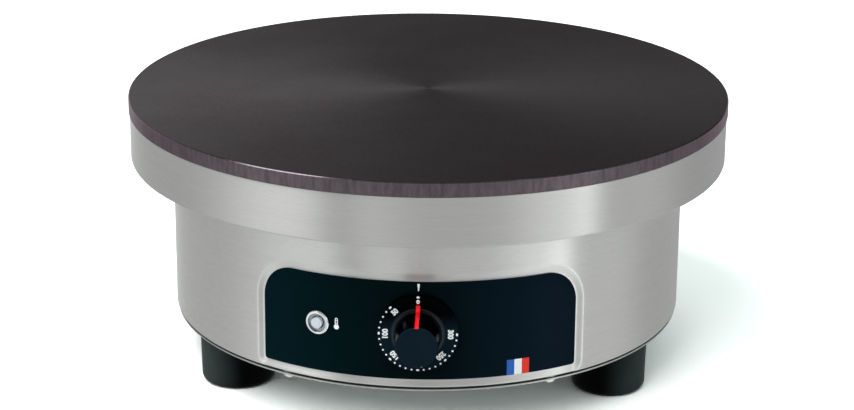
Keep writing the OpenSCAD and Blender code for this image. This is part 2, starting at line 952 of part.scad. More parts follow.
// A saddle over the bulb, with one ear screwed to the plate
module bulb_clip() {
  roof = z_under - z_bulb;
  bore_r = bulb_d / 2 + fit;
  wall_r = bore_r + clip_t;
  color(zinc)
    difference() {
      translate([-clip_w / 2, bulb_y, z_bulb])
        rotate([90, 0, 90])
          linear_extrude(clip_w)
            difference() {
              union() {
                circle(r = wall_r);
                translate([-wall_r, 0])
                  square([2 * wall_r, roof]);
                translate([0, roof - clip_t])
                  square([bulb_d / 2 + clip_ear, clip_t]);
              }
              circle(r = bore_r);
              translate([-bore_r, 0])
                square([2 * bore_r, wall_r]);
              translate([-wall_r - cut, roof])
                square([2 * (wall_r + cut), wall_r]);
            }
      translate([0, clip_screw_y, 0])
        rod(clip_screw_d + 2 * fit, z_under - clip_t - cut, z_under + cut);
    }
}

module bulb_clip_screw() {
  color(zinc)
    translate([0, clip_screw_y, 0]) {
      rod(clip_screw_d, z_under - clip_t, z_under + clamp_stud_depth);
      hex(clip_screw_af, z_under - clip_t - clip_screw_h, z_under - clip_t);
    }
}

module heating_element_outer() { color(zinc) heating_loop(outer_loop_r); }
module heating_element_inner() { color(zinc) heating_loop(inner_loop_r); }

module element_end_seals() {
  color(ceramic)
    at_loop_ends()
      tube(seal_d, pin_d + 2 * fit, z_end - seal_h, z_end);
}

module element_pins() {
  color(brass)
    at_loop_ends() {
      rod(pin_d, z_end - seal_h - pin_h, z_end);
      hex_nut(pin_nut_af, pin_d, z_pin_nut, z_pin_nut + pin_nut_h);
    }
}

module clamp_bars() {
  color(zinc)
    for (i = [0:2])
      rotate([0, 0, clamp_start + i * 120])
        difference() {
          translate([clamp_in, -clamp_w / 2, z_clamp - clamp_t])
            cube([clamp_out - clamp_in, clamp_w, clamp_t]);
          translate([clamp_stud_r, 0, 0])
            rod(clamp_stud_d + 2 * hole_play, z_clamp - clamp_t - cut, z_clamp + cut);
        }
}

module clamp_studs() {
  color(zinc)
    around(3, clamp_start, clamp_stud_r)
      rod(clamp_stud_d, z_clamp_nut - thread_out_small, z_under + clamp_stud_depth);
}

module clamp_nuts() {
  color(zinc)
    around(3, clamp_start, clamp_stud_r)
      hex_nut(clamp_nut_af, clamp_stud_d + 2 * fit, z_clamp_nut, z_clamp_nut + clamp_nut_h);
}

// Openings through the heat shield or the insulation for all that passes, from one height to another
module pass_holes(stud_hole_d, from, to) {
  around(3, three_start, stud_r)
    rod(stud_hole_d, from, to);
  at_loop_ends()
    rod(tube_d + 2 * pass_play, from, to);
  translate([capillary_x, bulb_y, 0])
    rod(capillary_d + 2 * pass_play, from, to);
}

module insulation_disc() {
  top = z_shield_top + insulation_t;
  color(mineral)
    difference() {
      rod(2 * (shield_r - shield_t - hole_play), z_shield_top, top);
      pass_holes(sleeve_d + 2 * pass_play, z_shield_top - cut, top + cut);
      around(3, clamp_start, clamp_stud_r)
        rod(clamp_nut_af + 4 * pass_play, z_shield_top - cut, top + cut);
    }
}

module heat_shield() {
  color(zinc)
    difference() {
      union() {
        rod(2 * shield_r, z_shield, z_shield_top);
        tube(2 * shield_r, 2 * (shield_r - shield_t), z_shield, z_shield + shield_rim_h);
      }
      pass_holes(stud_d + 2 * hole_play, z_shield - cut, z_shield_top + cut);
    }
}

module shield_spacers() {
  color(zinc)
    around(3, three_start, stud_r)
      tube(spacer_d, stud_d + 2 * hole_play, z_flange, z_shield);
}

module plate_sleeves() {
  color(ceramic)
    around(3, three_start, stud_r)
      tube(sleeve_d, stud_d + 2 * hole_play, z_shield_top, z_boss);
}

module plate_studs() {
  color(zinc)
    around(3, three_start, stud_r)
      rod(stud_d, z_stud_nut - thread_out, z_under + stud_depth);
}

module stud_washers() {
  color(zinc)
    around(3, three_start, stud_r)
      tube(washer_d, stud_d + 2 * hole_play, z_stud_washer, z_stud_washer + washer_t);
}

module stud_nuts() {
  color(zinc)
    around(3, three_start, stud_r)
      hex_nut(stud_nut_af, stud_d + 2 * fit, z_stud_nut, z_stud_nut + stud_nut_h);
}

module frame_rivets() {
  color(zinc)
    around(6, six_start, stud_r) {
      rod(rivet_d, z_step - sheet_t - rivet_tail_h, z_flange);
      rod(rivet_tail_d, z_step - sheet_t - rivet_tail_h, z_step - sheet_t);
      translate([0, 0, z_flange])
        mirror([0, 0, 1])
          dome_head(rivet_head_d, rivet_head_h);
    }
}

module lamp_bezel() {
  color(bright)
    at_panel(lamp_angle, z_lamp)
      difference() {
        union() {
          rod(bezel_d, seat, bezel_h);
          rod(neck_d, -neck_len, seat);
        }
        rod(lamp_bore_d, -neck_len - cut, bezel_h + cut);
        rod(bezel_step_d, bezel_h - bezel_step_h, bezel_h + cut);
      }
}

module lamp_lens() {
  ball_r = (lens_d * lens_d / 4 + lens_crown * lens_crown) / (2 * lens_crown);
  color(bright)
    at_panel(lamp_angle, z_lamp)
      intersection() {
        rod(lens_d, lamp_seat, lens_h + cut);
        translate([0, 0, lens_h - ball_r])
          sphere(r = ball_r);
      }
}

module lamp_body() {
  color(black)
    at_panel(lamp_angle, z_lamp)
      rod(lamp_bore_d - 2 * fit, lamp_seat - lamp_body_len, lamp_seat);
}

module lamp_tags() {
  color(brass)
    at_panel(lamp_angle, z_lamp)
      for (x = [-1, 1] * lamp_tag_x)
        translate([x - lamp_tag_t / 2, -lamp_tag_w / 2, lamp_back - lamp_tag_len])
          cube([lamp_tag_t, lamp_tag_w, lamp_tag_len]);
}

module lamp_nut() {
  color(zinc)
    at_panel(lamp_angle, z_lamp)
      hex_nut(lamp_nut_af, neck_d + 2 * fit, lamp_nut_front - lamp_nut_h, lamp_nut_front);
}

module gland_body() {
  color(black)
    at_rear()
      difference() {
        union() {
          rod(gland_thread_d, -gland_in, 0);
          hex(gland_af, 0, gland_hex_h);
          rod(gland_cap_thread_d, gland_hex_h, gland_neck_h);
        }
        rod(gland_wall_d, -gland_in - cut, gland_neck_h + cut);
      }
}

module gland_nut() {
  shoulder = gland_neck_h + gland_cap_gap;
  color(black)
    at_rear()
      difference() {
        union() {
          hex(gland_af, gland_hex_h + gland_cap_gap, shoulder);
          translate([0, 0, shoulder])
            cylinder(d1 = gland_af, d2 = gland_mouth_d + 2 * gland_lip, h = gland_cap_h - shoulder);
        }
        rod(gland_cap_thread_d + 2 * fit, gland_hex_h, shoulder);
        rod(gland_mouth_d, 0, gland_cap_h + cut);
      }
}

module gland_seal() {
  color(black)
    at_rear()
      tube(gland_wall_d - 2 * fit, gland_bore, gland_seal_start, gland_neck_h + gland_cap_gap);
}

module gland_locknut() {
  color(black)
    at_rear()
      hex_nut(locknut_af, gland_thread_d + 2 * fit, -sheet_t - seat - locknut_h, -sheet_t - seat);
}

module at_poles() {
  for (x = [-1, 0, 1] * pole_pitch)
    translate([x, block_y, 0])
      children();
}

module at_block_screws() {
  for (x = [-1, 1] * pole_pitch / 2)
    translate([x, block_y, 0])
      children();
}

// A bore through the block or an insert, from front to back
module cross_rod(d, length) {
  translate([0, length / 2, z_insert])
    rotate([90, 0, 0])
      cylinder(d = d, h = length);
}

module terminal_block() {
  color(ceramic)
    difference() {
      translate([-block_w / 2, block_y - block_d / 2, z_floor_top])
        cube([block_w, block_d, block_h]);
      at_poles() {
        cross_rod(insert_d + 2 * fit, block_d + 2 * cut);
        rod(terminal_screw_d + 2 * fit, z_insert, z_floor_top + block_h + cut);
      }
      at_block_screws()
        rod(block_screw_d + 2 * hole_play, z_floor_top - cut, z_floor_top + block_h + cut);
    }
}

module terminal_inserts() {
  color(brass)
    at_poles()
      difference() {
        cross_rod(insert_d, block_d + 2 * insert_proud);
        cross_rod(insert_bore, block_d + 2 * insert_proud + 2 * cut);
      }
}

module terminal_screws() {
  color(zinc)
    at_poles()
      rod(terminal_screw_d, z_insert + insert_d / 2 + fit, z_floor_top + block_h + terminal_screw_proud);
}

module block_screws() {
  color(zinc)
    at_block_screws() {
      rod(block_screw_d, z_bottom - block_nut_h - thread_out_small, z_floor_top + block_h);
      rod(block_head_d, z_floor_top + block_h, z_floor_top + block_h + block_head_h);
    }
}

module block_nuts() {
  color(zinc)
    at_block_screws()
      hex_nut(block_nut_af, block_screw_d + 2 * fit, z_bottom - block_nut_h, z_bottom);
}

module earth_stud() {
  color(zinc)
    translate([-earth_x, block_y, 0])
      rod(earth_d, z_floor_top, z_floor_top + earth_h);
}

module earth_nuts() {
  color(zinc)
    translate([-earth_x, block_y, z_floor_top + earth_nut_z])
      for (z = [0, earth_nut_h + wire_d + 2 * wire_gap])
        hex_nut(earth_nut_af, earth_d + 2 * fit, z, z + earth_nut_h);
}

// Where a wire goes into a pole of the block, and where it meets a tab of the thermostat
function pole_end(x) = [x, block_y - block_d / 2 - insert_proud + wire_in, z_insert];
function tab_end(x, y) =
  panel_point(0, x, z_knob + y, t_housing_back - t_tab_len - wire_gap);
// The side of an element pin, just below its nut
function pin_side(r, side, dx, dy) =
  let (reach = pin_d / 2 + pin_gap)
  [end_x(r, side) + dx * reach, end_y(r, side) + dy * reach, z_pin_nut - wire_d / 2 - wire_gap];

module supply_wires() {
  color(wire_brown)
    for (y = [-1, 1])
      wire(route(pole_end(y > 0 ? pole_pitch : 0), [0, -supply_run[0], 0],
        tab_end(t_tab_x, y * t_tab_y), [0, supply_run[1], 0]), wire_d, [1, 0, 0.2]);
}

// Two leads from the thermostat to the outer loop, and two links from it to the inner loop
module element_leads() {
  color(wire_white)
    for (side = [-1, 1]) {
      wire(route(tab_end(0, -side * t_tab_y), [0, lead_run[0], 0],
        pin_side(outer_loop_r, side, -side, 0), [-side * lead_run[1], 0, -lead_lift]), wire_d, [0.2, 0.1, 1]);
      wire(route(pin_side(outer_loop_r, side, 0, -1), [0, -link_run, -link_drop],
        pin_side(inner_loop_r, side, 0, 1), [0, link_run, -link_drop]), wire_d, [1, 0, 0]);
    }
}

module lamp_leads() {
  lamp_end = lamp_back - lamp_tag_len - wire_gap;
  color(wire_grey)
    for (side = [-1, 1])
      wire(route(panel_point(lamp_angle, side * lamp_tag_x, z_lamp, lamp_end),
        [lamp_spread[0], lamp_run[0], 0], tab_end(-t_tab_x, side * t_tab_y),
        [-lamp_spread[1], lamp_run[1], side * lamp_spread[1]]), lamp_wire_d, [0, 0, 1]);
}

module earth_wire() {
  z_lug = z_floor_top + earth_nut_z + earth_nut_h + wire_gap + wire_d / 2;
  color(wire_green)
    wire(route(pole_end(-pole_pitch), [0, -earth_run, 0],
      [-earth_x, block_y - earth_d / 2 - wire_gap, z_lug], [0, -earth_run, 0]), wire_d, [0, 0, 1]);
}

griddle_plate();
collar_band();
body_shell();
bottom_plate();
bottom_screws();
foot_front_left();
foot_front_right();
foot_rear();
foot_bolts();
foot_nuts();
control_panel();
control_knob();
knob_pointer();
thermostat_shaft();
thermostat_frame();
thermostat_housing();
thermostat_terminals();
thermostat_spacers();
thermostat_screws();
thermostat_capillary();
sensing_bulb();
bulb_clip();
bulb_clip_screw();
heating_element_outer();
heating_element_inner();
element_end_seals();
element_pins();
clamp_bars();
clamp_studs();
clamp_nuts();
insulation_disc();
heat_shield();
shield_spacers();
plate_studs();
plate_sleeves();
stud_washers();
stud_nuts();
frame_rivets();
lamp_bezel();
lamp_lens();
lamp_body();
lamp_tags();
lamp_nut();
gland_body();
gland_nut();
gland_seal();
gland_locknut();
terminal_block();
terminal_inserts();
terminal_screws();
block_screws();
block_nuts();
earth_stud();
earth_nuts();
supply_wires();
element_leads();
lamp_leads();
earth_wire();
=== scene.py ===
"""Looks of the electric crepe maker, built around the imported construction.

Metres, +Z up, the floor at z = 0 and the plate's axis at x = y = 0. The control panel faces -Y.
"""
import math

import bpy
from mathutils import Matrix, Vector


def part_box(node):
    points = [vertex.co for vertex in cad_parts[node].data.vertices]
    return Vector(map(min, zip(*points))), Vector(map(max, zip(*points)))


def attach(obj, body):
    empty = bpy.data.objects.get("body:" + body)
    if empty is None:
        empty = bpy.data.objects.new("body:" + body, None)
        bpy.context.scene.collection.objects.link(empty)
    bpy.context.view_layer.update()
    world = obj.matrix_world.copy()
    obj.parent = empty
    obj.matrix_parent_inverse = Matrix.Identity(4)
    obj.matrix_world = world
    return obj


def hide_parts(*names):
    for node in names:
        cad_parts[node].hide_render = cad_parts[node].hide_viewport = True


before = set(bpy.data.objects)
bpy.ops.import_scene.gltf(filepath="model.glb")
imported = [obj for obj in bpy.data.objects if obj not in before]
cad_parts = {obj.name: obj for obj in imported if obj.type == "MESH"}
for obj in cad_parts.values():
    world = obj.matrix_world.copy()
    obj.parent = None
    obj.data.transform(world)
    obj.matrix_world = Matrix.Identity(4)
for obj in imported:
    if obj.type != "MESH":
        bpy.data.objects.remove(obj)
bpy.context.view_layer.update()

MM = 0.001

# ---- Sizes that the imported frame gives

plate_low, plate_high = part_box("griddle_plate")
collar_low, collar_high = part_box("collar_band")
body_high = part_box("body_shell")[1]
floor_low, floor_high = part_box("bottom_plate")
panel_low, panel_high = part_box("control_panel")
knob_low, knob_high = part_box("control_knob")
bezel_low, bezel_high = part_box("lamp_bezel")
foot_low, foot_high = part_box("foot_rear")
screw_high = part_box("bottom_screws")[1]
gland_low, gland_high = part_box("gland_body")
cap_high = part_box("gland_nut")[1]

plate_r = plate_high.x
plate_top = plate_high.z
collar_r = collar_high.x
collar_top = collar_high.z
z_step = collar_low.z
body_r = body_high.x
z_bottom = floor_low.z
bottom_t = floor_high.z - floor_low.z
knob_z = (knob_low.z + knob_high.z) / 2
skirt_r = knob_high.x
lamp_z = (bezel_low.z + bezel_high.z) / 2
foot_r = (foot_high.x - foot_low.x) / 2
foot_circle = (foot_low.y + foot_high.y) / 2
gland_z = (gland_low.z + gland_high.z) / 2

# ---- Sizes of sheet metal, panel, knob and gland that a box doesn't tell

SHEET = 1.0 * MM
BASE_GAP = 1.3 * MM
POCKET_DEPTH = 1.6 * MM
PANEL_T = 0.8 * MM
PANEL_TOP_R = 22 * MM
PANEL_BOTTOM_R = 2 * MM
BORDER_START = 0.15 * MM
BORDER_W = 6.2 * MM
BORDER_BEND = 0.2
WALL_BEND_R = 1.1 * MM
FLANGE_R = 151.2 * MM
BASE_FLANGE_R = 156.2 * MM
PRESS_D = 8 * MM
FLAT_H = 40 * MM
FLAT_SLOPE = 3 * MM
FLAT_REACH = math.radians(20)
GLAND_H = 24 * MM
SCREW_HEAD_R = 4 * MM
SCREW_COUNT = 6

z_body = z_bottom + bottom_t + BASE_GAP
pocket_r = body_r - POCKET_DEPTH
panel_r = pocket_r + PANEL_T
half_panel = body_r * math.asin(panel_high.x / body_r)
panel_mid = (panel_low.z + panel_high.z) / 2
panel_half_h = (panel_high.z - panel_low.z) / 2
gland_flat = cap_high.y - GLAND_H

SKIRT_GAP = 0.8 * MM
SKIRT_H = 4 * MM
GRIP_H = 22.8 * MM
GRIP_BASE_R = 14.6 * MM
GRIP_FACE_R = 13 * MM
GRIP_FILLET = 2.6 * MM
POINTER_REACH = 18.8 * MM
LAMP_ARC = -64.7 * MM
PRINT_T = 0.03 * MM
PRINT_SINK = 0.02 * MM
SQUARE = ((-1, -1), (1, -1), (1, 1), (-1, 1))

# Camera, in degrees and metres, aimed from the axis at the plate's top
CAMERA_AZIMUTH = 1.75
CAMERA_ELEVATION = 16.289
CAMERA_DISTANCE = 1.6174
CAMERA_PITCH = 19.068
CAMERA_ROLL = 0.466
CAMERA_SHIFT = -0.33 * MM
CAMERA_LENS = 101.6
SENSOR = 36


# ---- Shapes

class Shape:
    """Points and faces of a mesh under construction."""

    def __init__(self, points=(), faces=()):
        self.points = [Vector(p) for p in points]
        self.faces = [tuple(f) for f in faces]

    def add(self, other, matrix=None):
        first = len(self.points)
        self.points += [matrix @ p if matrix else p.copy() for p in other.points]
        self.faces += [tuple(first + i for i in face) for face in other.faces]
        return self

    def placed(self, matrix):
        return Shape().add(self, matrix)

    def ring(self, points):
        """Adds points and gives their numbers."""
        first = len(self.points)
        self.points += [Vector(p) for p in points]
        return list(range(first, len(self.points)))

    def bent(self, place):
        """The same faces, with each point moved to place(point)."""
        return Shape([place(p) for p in self.points], self.faces)


def rounded(corners, steps=6):
    """Closed outline through corners (x, y, radius), each with its own round."""
    points = []
    for i, (x, y, radius) in enumerate(corners):
        corner = Vector((x, y))
        if radius == 0:
            points.append((x, y))
            continue
        back = (Vector(corners[i - 1][:2]) - corner).normalized()
        ahead = (Vector(corners[(i + 1) % len(corners)][:2]) - corner).normalized()
        half = back.angle(ahead) / 2
        centre = corner + (back + ahead).normalized() * radius / math.sin(half)
        start = corner + back * radius / math.tan(half) - centre
        end = corner + ahead * radius / math.tan(half) - centre
        first = math.atan2(start.y, start.x)
        sweep = (math.atan2(end.y, end.x) - first + math.pi) % (2 * math.pi) - math.pi
        for k in range(steps + 1):
            a = first + sweep * k / steps
            points.append((centre.x + radius * math.cos(a), centre.y + radius * math.sin(a)))
    return points


def circle_points(radius, count):
    turns = [2 * math.pi * i / count for i in range(count)]
    return [(radius * math.cos(a), radius * math.sin(a)) for a in turns]


def capsule(length, width, steps=8):
    """Outline of a bar along +Y from 0 to length, with round ends."""
    r = width / 2
    top = [(r * math.cos(math.pi * k / steps), length - r + r * math.sin(math.pi * k / steps))
           for k in range(steps + 1)]
    low = [(-x, length - y) for x, y in top]
    return top + low


def bridge(rings, closed_rings=True, closed_chain=False):
    """Quads between neighbouring rings of point numbers; numbers that repeat drop out."""
    faces = []
    for low, high in zip(rings, rings[1:] + (rings[:1] if closed_chain else [])):
        count = len(low)
        for i in range(count if closed_rings else count - 1):
            j = (i + 1) % count
            corners = tuple(dict.fromkeys((low[i], low[j], high[j], high[i])))
            if len(corners) > 2:
                faces.append(corners)
    return faces


def lathe(profile, segments=128, radius_at=None):
    """A closed profile of (radius, height) points, anti-clockwise with +Z up, turned about +Z.

    radius_at(radius, angle) may change the radius around the turn, as on a hexagon.
    """
    shape = Shape()
    rings = []
    turns = [2 * math.pi * i / segments for i in range(segments)]
    for radius, height in profile:
        if radius < 1e-7:
            rings.append(shape.ring([(0, 0, height)]) * segments)
            continue
        polar = [(radius_at(radius, a) if radius_at else radius, a) for a in turns]
        rings.append(shape.ring((r * math.cos(a), r * math.sin(a), height) for r, a in polar))
    shape.faces = bridge(rings, closed_chain=True)
    return shape


def prism(outline, low, high):
    """A 2D outline as a closed solid between two heights."""
    count = len(outline)
    points = [(x, y, low) for x, y in outline] + [(x, y, high) for x, y in outline]
    faces = [tuple(reversed(range(count))), tuple(range(count, 2 * count))]
    faces += [(i, (i + 1) % count, count + (i + 1) % count, count + i) for i in range(count)]
    return Shape(points, faces)


def frame_prism(outer, inner, low, high):
    """A closed band between two outlines with the same number of points."""
    count = len(outer)
    loops = [(inner, low), (outer, low), (outer, high), (inner, high)]
    points = [(x, y, z) for outline, z in loops for x, y in outline]
    rings = [[k * count + i for i in range(count)] for k in range(4)]
    return Shape(points, bridge(rings, closed_chain=True))


def add_object(name, data):
    made = bpy.data.objects.new(name, data)
    bpy.context.scene.collection.objects.link(made)
    return made


def number_shape(text, height, digit_w, thickness):
    """Bold narrow figures as a solid that is centred on the origin."""
    curve = bpy.data.curves.new("figures", "FONT")
    curve.body = text
    curve.size = 1
    curve.offset = 0.05
    curve.extrude = 0.1
    curve.resolution_u = 5
    carrier = add_object("figures", curve)
    bpy.context.view_layer.update()
    solid = carrier.evaluated_get(bpy.context.evaluated_depsgraph_get()).to_mesh()
    points = [v.co.copy() for v in solid.vertices]
    faces = [tuple(p.vertices) for p in solid.polygons]
    bpy.data.objects.remove(carrier)
    bpy.data.curves.remove(curve)
    low = Vector([min(p[k] for p in points) for k in range(3)])
    high = Vector([max(p[k] for p in points) for k in range(3)])
    middle = (low + high) / 2
    target = Vector((digit_w * len(text), height, thickness))
    scale = [target[k] / (high[k] - low[k]) for k in range(3)]
    return Shape([[(p[k] - middle[k]) * scale[k] for k in range(3)] for p in points], faces)


def make_piece(name, shape, body, *nodes, slot=None, material=None, sharp=32, merge=False):
    """A named piece from a shape, riding on a body and standing for CAD nodes.

    It has its slot's finish unless it is given a material.
    """
    mesh = bpy.data.meshes.new(name)
    mesh.from_pydata([tuple(p) for p in shape.points], [], shape.faces)
    mesh.validate()
    mesh.shade_smooth()
    mesh.set_sharp_from_angle(angle=math.radians(sharp))
    mesh.materials.append(material or FINISHES[slot])
    piece = add_object(name, mesh)
    if merge:
        piece.modifiers.new("weld", "WELD").merge_threshold = 1e-6
    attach(piece, body)
    if nodes:
        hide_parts(*nodes)
    return piece


def weigh_normals(piece):
    """Flat faces stay flat beside their rounded edges."""
    modifier = piece.modifiers.new("normals", "WEIGHTED_NORMAL")
    modifier.keep_sharp = True
    modifier.weight = 100


def turned(degrees, x, y=0.0):
    """The place (x, y), turned about +Z."""
    return Matrix.Rotation(math.radians(degrees), 4, "Z") @ Matrix.Translation((x, y, 0))


def around(count, start, radius):
    """Places on a circle about the plate's axis, in degrees from +X."""
    return [turned(start + i * 360 / count, radius) for i in range(count)]


def panel_place(arc, height):
    """A frame on the panel's face: +X across it, +Y up and +Z outwards."""
    return (Matrix.Rotation(arc / body_r, 4, "Z") @ Matrix.Translation((0, -panel_r, height))
            @ Matrix.Rotation(math.pi / 2, 4, "X"))


def wall_point(arc, height, radius):
    """A point on the curved front, at a distance along its curve from the panel's middle."""
    x = body_r * math.sin(arc / body_r)
    return Vector((x, -math.sqrt(radius * radius - x * x), height))


# ---- Materials

def display(red, green, blue):
    """A colour as a screen shows it, in linear light."""
    def linear(v):
        v /= 255
        return v / 12.92 if v <= 0.04045 else ((v + 0.055) / 1.055) ** 2.4
    return (linear(red), linear(green), linear(blue), 1)


def scaled(color, factor):
    """A colour made darker or lighter."""
    return [c * factor for c in color[:3]] + [1]


class Nodes:
    """Short ways to add nodes to a tree."""

    def __init__(self, tree):
        self.tree = tree

    def node(self, kind, inputs=None, **settings):
        """A shader node, with a value or a link for each input."""
        made = self.tree.nodes.new("ShaderNode" + kind)
        for key, value in settings.items():
            setattr(made, key, value)
        for key, value in (inputs or {}).items():
            if isinstance(value, bpy.types.NodeSocket):
                self.tree.links.new(value, made.inputs[key])
            else:
                made.inputs[key].default_value = value
        return made

    def math(self, operation, a, b=0.0, c=0.0):
        return self.node("Math", {0: a, 1: b, 2: c}, operation=operation).outputs[0]

    def times(self, a, b):
        return self.math("MULTIPLY", a, b)

    def plus(self, a, b):
        return self.math("ADD", a, b)

    def vector(self, x, y, z=0.0):
        return self.node("CombineXYZ", {0: x, 1: y, 2: z}).outputs[0]

    def axes(self, vector):
        return self.node("SeparateXYZ", {0: vector}).outputs

    def span(self, value, low, high, to_low, to_high, **settings):
        """A value from one range mapped to another."""
        inputs = {0: value, 1: low, 2: high, 3: to_low, 4: to_high}
        return self.node("MapRange", inputs, **settings).outputs[0]

    def fade(self, value, low, high, at_low, at_high):
        """Like span, with a soft start and end."""
        return self.span(value, low, high, at_low, at_high, interpolation_type="SMOOTHSTEP")

    def choose(self, factor, a, b):
        """One shader at 0 and the other at 1."""
        return self.node("MixShader", {0: factor, 1: a, 2: b}).outputs[0]


class Finish(Nodes):
    """A node material under construction."""

    def __init__(self, name, color, roughness, metallic=0.0, **sockets):
        self.material = bpy.data.materials.new(name)
        self.material.use_nodes = True
        super().__init__(self.material.node_tree)
        self.shader = self.tree.nodes["Principled BSDF"]
        sockets.update(Base_Color=color, Roughness=roughness, Metallic=metallic)
        for socket, value in sockets.items():
            self.shader.inputs[socket.replace("_", " ")].default_value = value

    def place(self):
        """Object coordinates."""
        return self.node("TexCoord").outputs["Object"]

    def polar(self):
        """Distance from the plate's axis, turn about it in radians, and height."""
        x, y, z = self.axes(self.place())
        square = self.plus(self.times(x, x), self.times(y, y))
        return self.math("SQRT", square), self.math("ARCTAN2", x, y), z

    def noise(self, scale, detail=2.0, roughness=0.5, vector=None):
        inputs = dict(Vector=vector or self.place(), Scale=scale, Detail=detail,
                      Roughness=roughness)
        return self.node("TexNoise", inputs).outputs["Fac"]

    def cells(self, scale):
        """Distance from the nearest of many scattered points."""
        inputs = dict(Vector=self.place(), Scale=scale)
        return self.node("TexVoronoi", inputs).outputs["Distance"]

    def varied(self, noise, to_low, to_high):
        """A noise, whose values are mostly from 0.3 to 0.7, mapped to another range."""
        return self.span(noise, 0.3, 0.7, to_low, to_high)

    def blend(self, factor, a, b):
        return self.node("Mix", {0: factor, 6: a, 7: b}, data_type="RGBA").outputs[2]

    def mottled(self, noise, a, b, low=0.3, high=0.7):
        """One colour where the noise is low and another where it is high."""
        return self.blend(self.span(noise, low, high, 0, 1), a, b)

    def feed(self, socket, value):
        self.tree.links.new(value, self.shader.inputs[socket])

    def paint(self, color):
        self.feed("Base Color", color)

    def bump(self, height, distance, strength=1.0, below=None):
        inputs = dict(Height=height, Distance=distance, Strength=strength)
        if below:
            inputs["Normal"] = below
        normal = self.node("Bump", inputs).outputs[0]
        self.feed("Normal", normal)
        return normal

    def grain_around_axis(self):
        """Brushed lines that run round the plate's axis."""
        tangent = self.node("Tangent", direction_type="RADIAL", axis="Z").outputs[0]
        self.feed("Tangent", tangent)
        self.shader.inputs["Anisotropic Rotation"].default_value = 0.25


def brushed_steel(name, tone, roughness):
    """Stainless sheet with fine brushing that runs round the plate's axis."""
    color = (tone, tone, tone * 0.99, 1)
    skin = Finish(name, color, roughness, 1.0, Anisotropic=0.95)
    skin.grain_around_axis()
    radius, angle, height = skin.polar()
    along_lines = skin.vector(skin.times(angle, 24), skin.times(height, 1500),
                              skin.times(radius, 1500))
    fine = skin.noise(1, 3, 0.65, along_lines)
    along_bands = skin.vector(skin.times(angle, 3), skin.times(height, 260))
    broad = skin.noise(1, 2, 0.5, along_bands)
    lines = skin.math("MULTIPLY_ADD", broad, 0.2, skin.times(fine, 0.8))
    skin.paint(skin.mottled(lines, scaled(color, 0.92), scaled(color, 1.08), 0.32, 0.68))
    skin.feed("Roughness", skin.varied(fine, roughness - 0.04, roughness + 0.04))
    skin.bump(fine, 0.006 * MM, 0.5)
    return skin.material


def cast_iron():
    """Seasoned iron: fine turning rings on its top, and a barer rim ground across its height."""
    skin = Finish("cast_iron_turned", display(19, 13, 16), 0.42, Anisotropic=0.6,
                  Specular_IOR_Level=0.06, Specular_Tint=(1, 0.85, 0.93, 1))
    skin.grain_around_axis()
    radius, angle, height = skin.polar()
    rings = skin.noise(3200, 3, 0.6, skin.vector(radius, skin.times(angle, 0.004)))
    tone = skin.noise(14, 4, 0.6)
    seasoned = skin.mottled(tone, display(15, 11, 13), display(26, 20, 23))
    seasoned = skin.blend(skin.span(rings, 0.35, 0.75, 0, 0.4), seasoned, display(11, 8, 10))
    across = skin.vector(skin.times(angle, 70), skin.times(height, 60))
    streaks = skin.noise(1, 5, 0.7, across)
    bare = skin.mottled(streaks, display(82, 74, 79), display(116, 107, 112))
    rim = skin.times(skin.span(height, plate_top - 0.08 * MM, plate_top - 0.2 * MM, 0, 1),
                     skin.span(radius, plate_r - 4 * MM, plate_r - MM, 0, 1))
    skin.paint(skin.blend(rim, seasoned, bare))
    skin.feed("Metallic", skin.span(rim, 0, 1, 0.18, 0.95))
    worn_edge = skin.times(skin.span(height, plate_top - MM, plate_top - 0.8 * MM, 0, 1),
                           skin.span(radius, plate_r - 0.8 * MM, plate_r - 0.65 * MM, 0, 1))
    pores = skin.noise(700, 4, 0.7)
    wiped = skin.times(skin.varied(tone, -1, 1), 0.03)
    rough = skin.plus(skin.varied(pores, 0.39, 0.47), wiped)
    skin.feed("Roughness", skin.times(rough, skin.span(worn_edge, 0, 1, 1, 0.3)))
    fine = skin.bump(rings, 0.006 * MM, 0.5)
    skin.bump(pores, 0.012 * MM, 0.4, fine)
    return skin.material


def panel_film():
    """Dark blue-black printed film with a smooth skin, with painted light that makes it lighter and
    bluer towards both ends.
    """
    skin = Finish("panel_film", display(3, 18, 24), 0.25, Specular_IOR_Level=0.015)
    # Painted light and shade: the film is darkest in the middle and painted lighter and bluer
    # towards its left and right ends.
    across = skin.axes(skin.place())[0]
    soft = skin.noise(9, 2)
    where = skin.plus(across, skin.times(skin.math("SUBTRACT", soft, 0.5), 0.03))
    left = skin.mottled(where, display(0, 24, 30), display(2, 14, 16), -0.09, -0.02)
    skin.paint(skin.mottled(where, left, display(10, 25, 37), 0.01, 0.08))
    skin.bump(skin.noise(900, 2), 0.004 * MM, 0.4)
    return skin.material


def moulded_plastic(name, color, roughness, spark=0.02, gloss=0.5):
    """Moulded plastic with a fine spark-eroded skin."""
    skin = Finish(name, color, roughness, Specular_IOR_Level=gloss)
    grain = skin.noise(4500, 3, 0.6)
    broad = skin.noise(90, 2)
    skin.feed("Roughness", skin.varied(broad, roughness - 0.04, roughness + 0.04))
    skin.paint(skin.mottled(grain, scaled(color, 0.85), scaled(color, 1.15)))
    skin.bump(grain, spark * MM, 0.35)
    return skin.material


